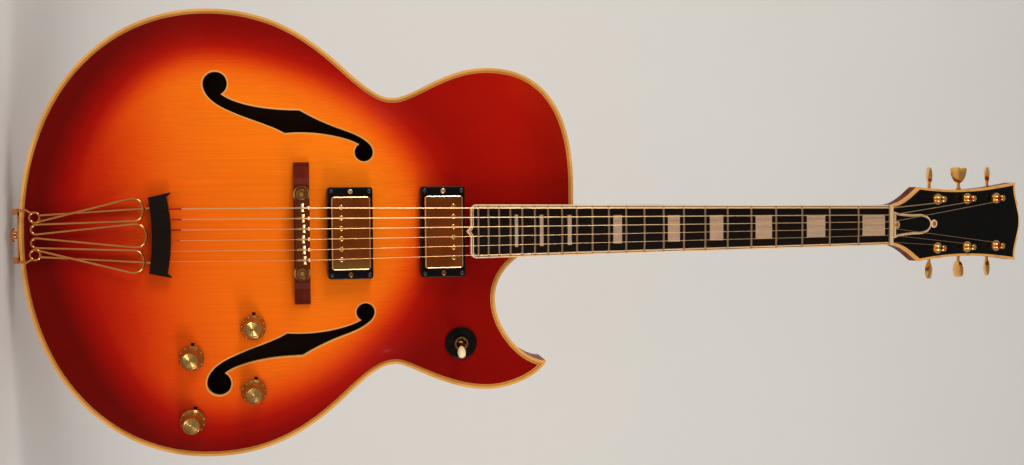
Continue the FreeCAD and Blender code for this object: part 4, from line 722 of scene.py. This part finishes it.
# slotted screw heads on short shanks; each row is place of the top, axis, head radius, turn, look
screwLook = {"rings": [(0.5, -1.4), (0.5, 0.0), (1.0, 0.0), (1.0, 0.16), (0.94, 0.31), (0.76, 0.41), (0.42, 0.46),
                       (0.08, 0.47)],
             "segments": 40, "slot": (2.6, 0.24, 0.5), "slotPlace": (0, 0, 0.51), "tall": 0.47}
topAxis, headAxis, tailAxis = (0, -0.9973, 0.0732), (0, -0.934, 0.357), (0, 0, -1)
ringScrews = ((-62.30, 293.64, 0.3), (-59.66, 329.54, 1.2), (-55.74, 382.94, 2.0), (-53.11, 418.84, 0.8))
heightScrews = ((-61.68, 311.64, 0.5), (-55.12, 400.94, 1.4))
screwRows = [((side * 40.0, y, z), topAxis, 2.0, turn, "darkPlate")
             for y, z, turn in ringScrews for side in (-1, 1)]
screwRows += [((side * 39.7, y, z), topAxis, 2.4, turn + side * 0.4, look)
              for y, z, turn in heightScrews for side, look in ((-1, "saddleGold"), (1, "agedBrass"))]
screwRows += [((0, -23.81, 873.71), headAxis, 2.4, 0.2, "gold"), ((0, -5.01, 922.84), headAxis, 2.4, 1.3, "gold"),
              ((-16, -14, -3.1), tailAxis, 3.0, 0.4, "gold"), ((16, -14, -3.1), tailAxis, 3.0, 1.9, "gold"),
              ((0, 9.5, -3.1), tailAxis, 3.0, 1.1, "gold")]


def makeScrews():
    master = turnedPiece("screw", screwLook["rings"], screwLook["segments"])
    cutAway(master, screwLook["slot"], screwLook["slotPlace"])
    screws = []
    for place, axis, radius, turn, look in screwRows:
        screw = copyPiece(master, "screw")
        dress(screw, look)
        sunk = Vector(place) - Vector(axis).normalized() * radius * screwLook["tall"]
        settle(screw, standing(sunk, axis, radius, turn))
        screws.append(screw)
    screws = joinPieces("slottedScrews", screws)
    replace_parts(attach(screws, "guitar"), "small_screws")
    dropPiece(master)


makeScrews()
print("wheels and screws made")

# pole screws standing a little proud of the two pickup covers
poleLook = {"columns": (-24.8, -14.88, -4.96, 4.96, 14.88, 24.8), "radius": 2.3, "segments": 36, "twist": 0.7,
            "rings": [(1.0, -0.5), (1.0, -0.08), (0.93, 0.0), (0.74, 0.09), (0.45, 0.13), (0.08, 0.14)],
            "slot": (2.6, 0.28, 0.3), "slotPlace": (0, 0, 0.16), "floor": 0.05, "upright": 0.95,
            "rows": {"pickup_bridge": (-66.55, 302.78, 0.4), "pickup_neck": (-58.63, 410.43, 1.1)}}


def makePoles():
    master = turnedPiece("pole", poleLook["rings"], poleLook["segments"])
    cutAway(master, poleLook["slot"], poleLook["slotPlace"])
    dress(master, "gold", "paintedSlotShade")
    # the floor of each slot takes the black finish: painted shade in the slot
    for face in master.data.polygons:
        low = face.center.z / mm < poleLook["floor"]
        face.material_index = int(low and face.normal.z > poleLook["upright"])
    for row, (y, z, turn) in poleLook["rows"].items():
        poles = []
        for number, x in enumerate(poleLook["columns"]):
            pole = copyPiece(master, "pole")
            settle(pole, standing((x, y, z), topAxis, poleLook["radius"], turn + poleLook["twist"] * number))
            poles.append(pole)
        poles = joinPieces("poleHeads" + ("Bridge" if "bridge" in row else "Neck"), poles)
        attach(poles, row)
    dropPiece(master)


makePoles()

# string ends wound round the posts: wire radius, turns and look for posts 1 to 6
coilLook = {"core": 2.5, "lowest": 0.25, "across": 25.7, "sides": 8, "steps": 24, "pitch": 2.04,
            "starts": ((-5.56, 928.40), (9.81, 968.56), (25.18, 1008.72)),
            "wires": ((0.58, 2, "stringWire"), (0.5, 3, "silkRed"), (0.42, 3, "silkRed"), (0.22, 5, "stringWire"),
                      (0.24, 5, "stringWire"), (0.36, 4, "silkRed"))}


def makeCoil(name, wire, turns):
    bpy.ops.object.select_all(action="DESELECT")
    bpy.ops.mesh.primitive_circle_add(vertices=coilLook["sides"], radius=wire * mm, rotation=(math.pi / 2, 0, 0),
                                      location=((coilLook["core"] + wire) * mm, 0, 0))
    coil = bpy.context.object
    coil.name = name
    bpy.ops.object.transform_apply(location=True, rotation=True)
    wound = coil.modifiers.new("wound", "SCREW")
    wound.axis, wound.angle, wound.screw_offset = "Z", 2 * math.pi, coilLook["pitch"] * wire * mm
    wound.iterations, wound.steps, wound.render_steps = turns, coilLook["steps"], coilLook["steps"]
    bpy.ops.object.modifier_apply(modifier="wound")
    bpy.ops.object.mode_set(mode="EDIT")
    bpy.ops.mesh.select_all(action="SELECT")
    bpy.ops.mesh.fill_holes(sides=coilLook["sides"])
    closePiece(coil)
    return coil


def makeWindings():
    for number, (wire, turns, look) in enumerate(coilLook["wires"]):
        y, z = coilLook["starts"][number % 3]
        coil = makeCoil(f"postWinding{number + 1}", wire, turns)
        dress(coil, look)
        bass = number < 3
        base = Vector((coilLook["across"] * (-1 if bass else 1), y, z))
        lift = Vector(headAxis).normalized() * (coilLook["lowest"] + wire)
        settle(coil, standing(base + lift, headAxis, turn=0.0 if bass else math.pi))
        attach(coil, f"post_{number + 1}")


makeWindings()
print("pole heads and windings made")

# silk wrapping of the strings at the tailpiece; each row is column, lower end, upper end, radius, look
sleeveLook = {"segments": 20, "taper": 0.7, "narrow": 0.7, "saddle": (-72.0, 266.9), "camber": 610,
              "tail": (-55.6, 136.0),
              "rows": ((-24.8, 137.2, 154.0, 0.98, "silkRed"), (-14.88, 137.2, 154.0, 0.86, "silkRed"),
                       (-4.96, 137.2, 153.0, 0.66, "silkDark"), (4.96, 137.2, 152.0, 0.5, "silkOrange"))}


def makeSleeves():
    (saddleY, saddleZ), (tailY, tailZ) = sleeveLook["saddle"], sleeveLook["tail"]
    for number, (x, low, high, radius, look) in enumerate(sleeveLook["rows"], 1):
        saddle = Vector((x, saddleY + x * x / sleeveLook["camber"], saddleZ))
        tail = Vector((x, tailY, tailZ))
        along = (saddle - tail).normalized()
        start = tail + along * (low - tailZ) / along.z
        length = (high - low) / along.z
        taper, narrow = sleeveLook["taper"], radius * sleeveLook["narrow"]
        rings = [(narrow, 0.0), (radius, taper), (radius, length / 2), (radius, length - taper), (narrow, length)]
        sleeve = turnedPiece(f"silkSleeve{number}", rings, sleeveLook["segments"])
        dress(sleeve, look)
        settle(sleeve, standing(start, along))
        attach(sleeve, "guitar")


makeSleeves()

# rounded ring and milled nut of the selector switch
switchAxis = (0.088, -0.994, 0.066)
switchRing = {"rings": [(7.3, 0.3), (15.3, 0.3), (15.8, 0.8), (15.75, 1.5), (15.3, 2.1), (14.4, 2.4), (13.4, 2.35),
                        (9.0, 1.95), (7.9, 1.9), (7.3, 1.85), (7.3, 0.3)],
              "segments": 72, "place": (110.6, -32.446, 418.9)}
switchNut = {"rings": [(4.7, 0.0), (7.15, 0.0), (7.15, 2.6), (6.8, 3.0), (5.2, 3.0), (4.9, 2.7), (4.7, 2.4),
                       (4.7, 0.0)],
             "segments": 60, "ribbed": (0.0, 2.7, 7.0), "ribDepth": 0.96, "place": (110.98, -36.62, 419.18),
             "sunk": 2.6}


def makeSwitchRing():
    ring = turnedPiece("switchRing", switchRing["rings"], switchRing["segments"], hollow=True)
    dress(ring, "blackRing")
    settle(ring, standing(switchRing["place"], switchAxis))
    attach(ring, "guitar")


def makeSwitchNut():
    nut = turnedPiece("switchNut", switchNut["rings"], switchNut["segments"], hollow=True)
    ribPiece(nut, switchNut["segments"], *switchNut["ribbed"], switchNut["ribDepth"])
    dress(nut, "agedBrass")
    sunk = Vector(switchNut["place"]) - Vector(switchAxis).normalized() * switchNut["sunk"]
    settle(nut, standing(sunk, switchAxis))
    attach(nut, "guitar")


makeSwitchRing()
makeSwitchNut()

# six-sided nut that holds the jack in the side
jackNut = {"rings": [(6.0, 0.0), (8.5, 0.0), (8.8, 0.3), (8.8, 1.5), (8.2, 1.9), (6.0, 1.9), (6.0, 0.0)],
           "sides": 6, "place": (217.2, 0, 178), "axis": (1, 0, 0), "turn": 0.3}


def makeJackNut():
    nut = turnedPiece("jackNut", jackNut["rings"], jackNut["sides"], hollow=True)
    dress(nut, "gold")
    settle(nut, standing(jackNut["place"], jackNut["axis"], turn=jackNut["turn"]))
    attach(nut, "guitar")


makeJackNut()
print("sleeves, ring and nuts made")

# studio: a pale sweep under and behind, a broad lamp on each side and a weaker one above
studio = {"floor": -0.0145, "back": 0.9, "front": -5.0, "half": 5.0, "tall": 4.0, "bend": 0.6, "segments": 14,
          "tones": ((0.72, 0.71, 0.69, 1), (0.76, 0.75, 0.73, 1)), "cloud": (3.0, 2.0), "slack": 0.01, "low": 0.1,
          "air": (0.62, 0.61, 0.60, 1), "airStrength": 0.42}
lamps = {
    "keyLamp": {"place": (-2.3, -1.45, 0.9), "aim": (0, 0, 0.4), "size": (1.1, 0.9), "spread": 120, "power": 21,
                "colour": (1.0, 0.96, 0.90), "mirrored": True},
    "sideLamp": {"place": (2.3, -1.45, 0.9), "aim": (0, 0, 0.4), "size": (1.1, 0.9), "spread": 120, "power": 16.6,
                 "colour": (1.0, 0.95, 0.88), "mirrored": True},
    # this one fills the shadows and isn't mirrored in the lacquer
    "topLamp": {"place": (0.2, -2.2, 1.7), "aim": (0, 0, 0.6), "size": (1.6, 1.0), "spread": 180, "power": 8,
                "colour": (1.0, 0.97, 0.94), "mirrored": False},
}


def atBack(place):
    return place.y * mm > studio["back"] - studio["slack"]


def makeSweep():
    bpy.ops.object.select_all(action="DESELECT")
    bpy.ops.mesh.primitive_plane_add(size=1.0)
    sweep = bpy.context.object
    sweep.name = "sweep"
    bpy.ops.object.mode_set(mode="EDIT")
    bpy.ops.mesh.select_all(action="SELECT")
    bpy.ops.transform.resize(value=(2 * studio["half"], studio["back"] - studio["front"], 1))
    bpy.ops.transform.translate(value=(0, (studio["back"] + studio["front"]) / 2, studio["floor"]))
    selectWhere(sweep, atBack)
    bpy.ops.mesh.extrude_region_move(TRANSFORM_OT_translate={"value": (0, 0, studio["tall"])})
    selectWhere(sweep, lambda place: atBack(place) and place.z * mm < studio["low"])
    bpy.ops.mesh.bevel(offset=studio["bend"], segments=studio["segments"])
    closePiece(sweep)
    if sum(face.normal.z - face.normal.y for face in sweep.data.polygons) < 0:
        bpy.ops.object.mode_set(mode="EDIT")
        bpy.ops.mesh.flip_normals()
        bpy.ops.object.mode_set(mode="OBJECT")
    material, tree, sockets, place = startMaterial("sweepPaper", Roughness=0.9)
    tone = noiseField(tree, place, *studio["cloud"])
    feed(tree, sockets["Base Color"], blendColour(tree, tone, *studio["tones"]))
    # seen from its outer side the sweep is clear, so it hides nothing in a view from behind
    behind = tree.nodes.new("ShaderNodeNewGeometry").outputs["Backfacing"]
    paper = addNode(tree, "ShaderNodeMixShader", {"Fac": behind})
    tree.links.new(tree.nodes["Principled BSDF"].outputs[0], paper.inputs[1])
    tree.links.new(tree.nodes.new("ShaderNodeBsdfTransparent").outputs[0], paper.inputs[2])
    tree.links.new(paper.outputs[0], tree.nodes["Material Output"].inputs["Surface"])
    sweep.data.materials.append(material)


def addLamp(name, place, aim, size, spread, power, colour, mirrored):
    lamp = bpy.data.lights.new(name, "AREA")
    lamp.shape = "RECTANGLE"
    lamp.size, lamp.size_y = size
    lamp.spread = math.radians(spread)
    lamp.energy = power
    lamp.color = colour
    holder = bpy.data.objects.new(name, lamp)
    bpy.context.scene.collection.objects.link(holder)
    holder.visible_camera, holder.visible_glossy = False, mirrored
    holder.location = place
    holder.rotation_euler = (Vector(aim) - Vector(place)).to_track_quat("-Z", "Y").to_euler()


makeSweep()
for name, look in lamps.items():
    addLamp(name, **look)

world = bpy.data.worlds.new("studioAir")
world.use_nodes = True
world.node_tree.nodes["Background"].inputs["Color"].default_value = studio["air"]
world.node_tree.nodes["Background"].inputs["Strength"].default_value = studio["airStrength"]
bpy.context.scene.world = world

# camera as in the photograph: turned on its side, a little toward the bass side and looking up along the neck
shot = {"place": (-0.0528, -1.4248, 0.2823), "yaw": 2.27, "tilt": 7.70, "roll": 0.742, "lens": 50.0,
        "sensor": 36.0}


def makeCamera():
    yaw, tilt, roll = (math.radians(shot[name]) for name in ("yaw", "tilt", "roll"))
    ahead = Vector((math.cos(tilt) * math.sin(yaw), math.cos(tilt) * math.cos(yaw), math.sin(tilt)))
    treble = Vector((math.cos(yaw), -math.sin(yaw), 0))
    upNeck = treble.cross(ahead)
    right = upNeck * math.cos(roll) + treble * math.sin(roll)
    up = upNeck * math.sin(roll) - treble * math.cos(roll)
    camera = bpy.data.cameras.new("shot")
    camera.lens, camera.sensor_width = shot["lens"], shot["sensor"]
    holder = bpy.data.objects.new("shot", camera)
    bpy.context.scene.collection.objects.link(holder)
    turn = Matrix((right, up, -ahead)).transposed().to_4x4()
    holder.matrix_world = Matrix.Translation(shot["place"]) @ turn
    bpy.context.scene.camera = holder


makeCamera()
bpy.context.scene.view_settings.view_transform = "Standard"
print("studio and camera set")
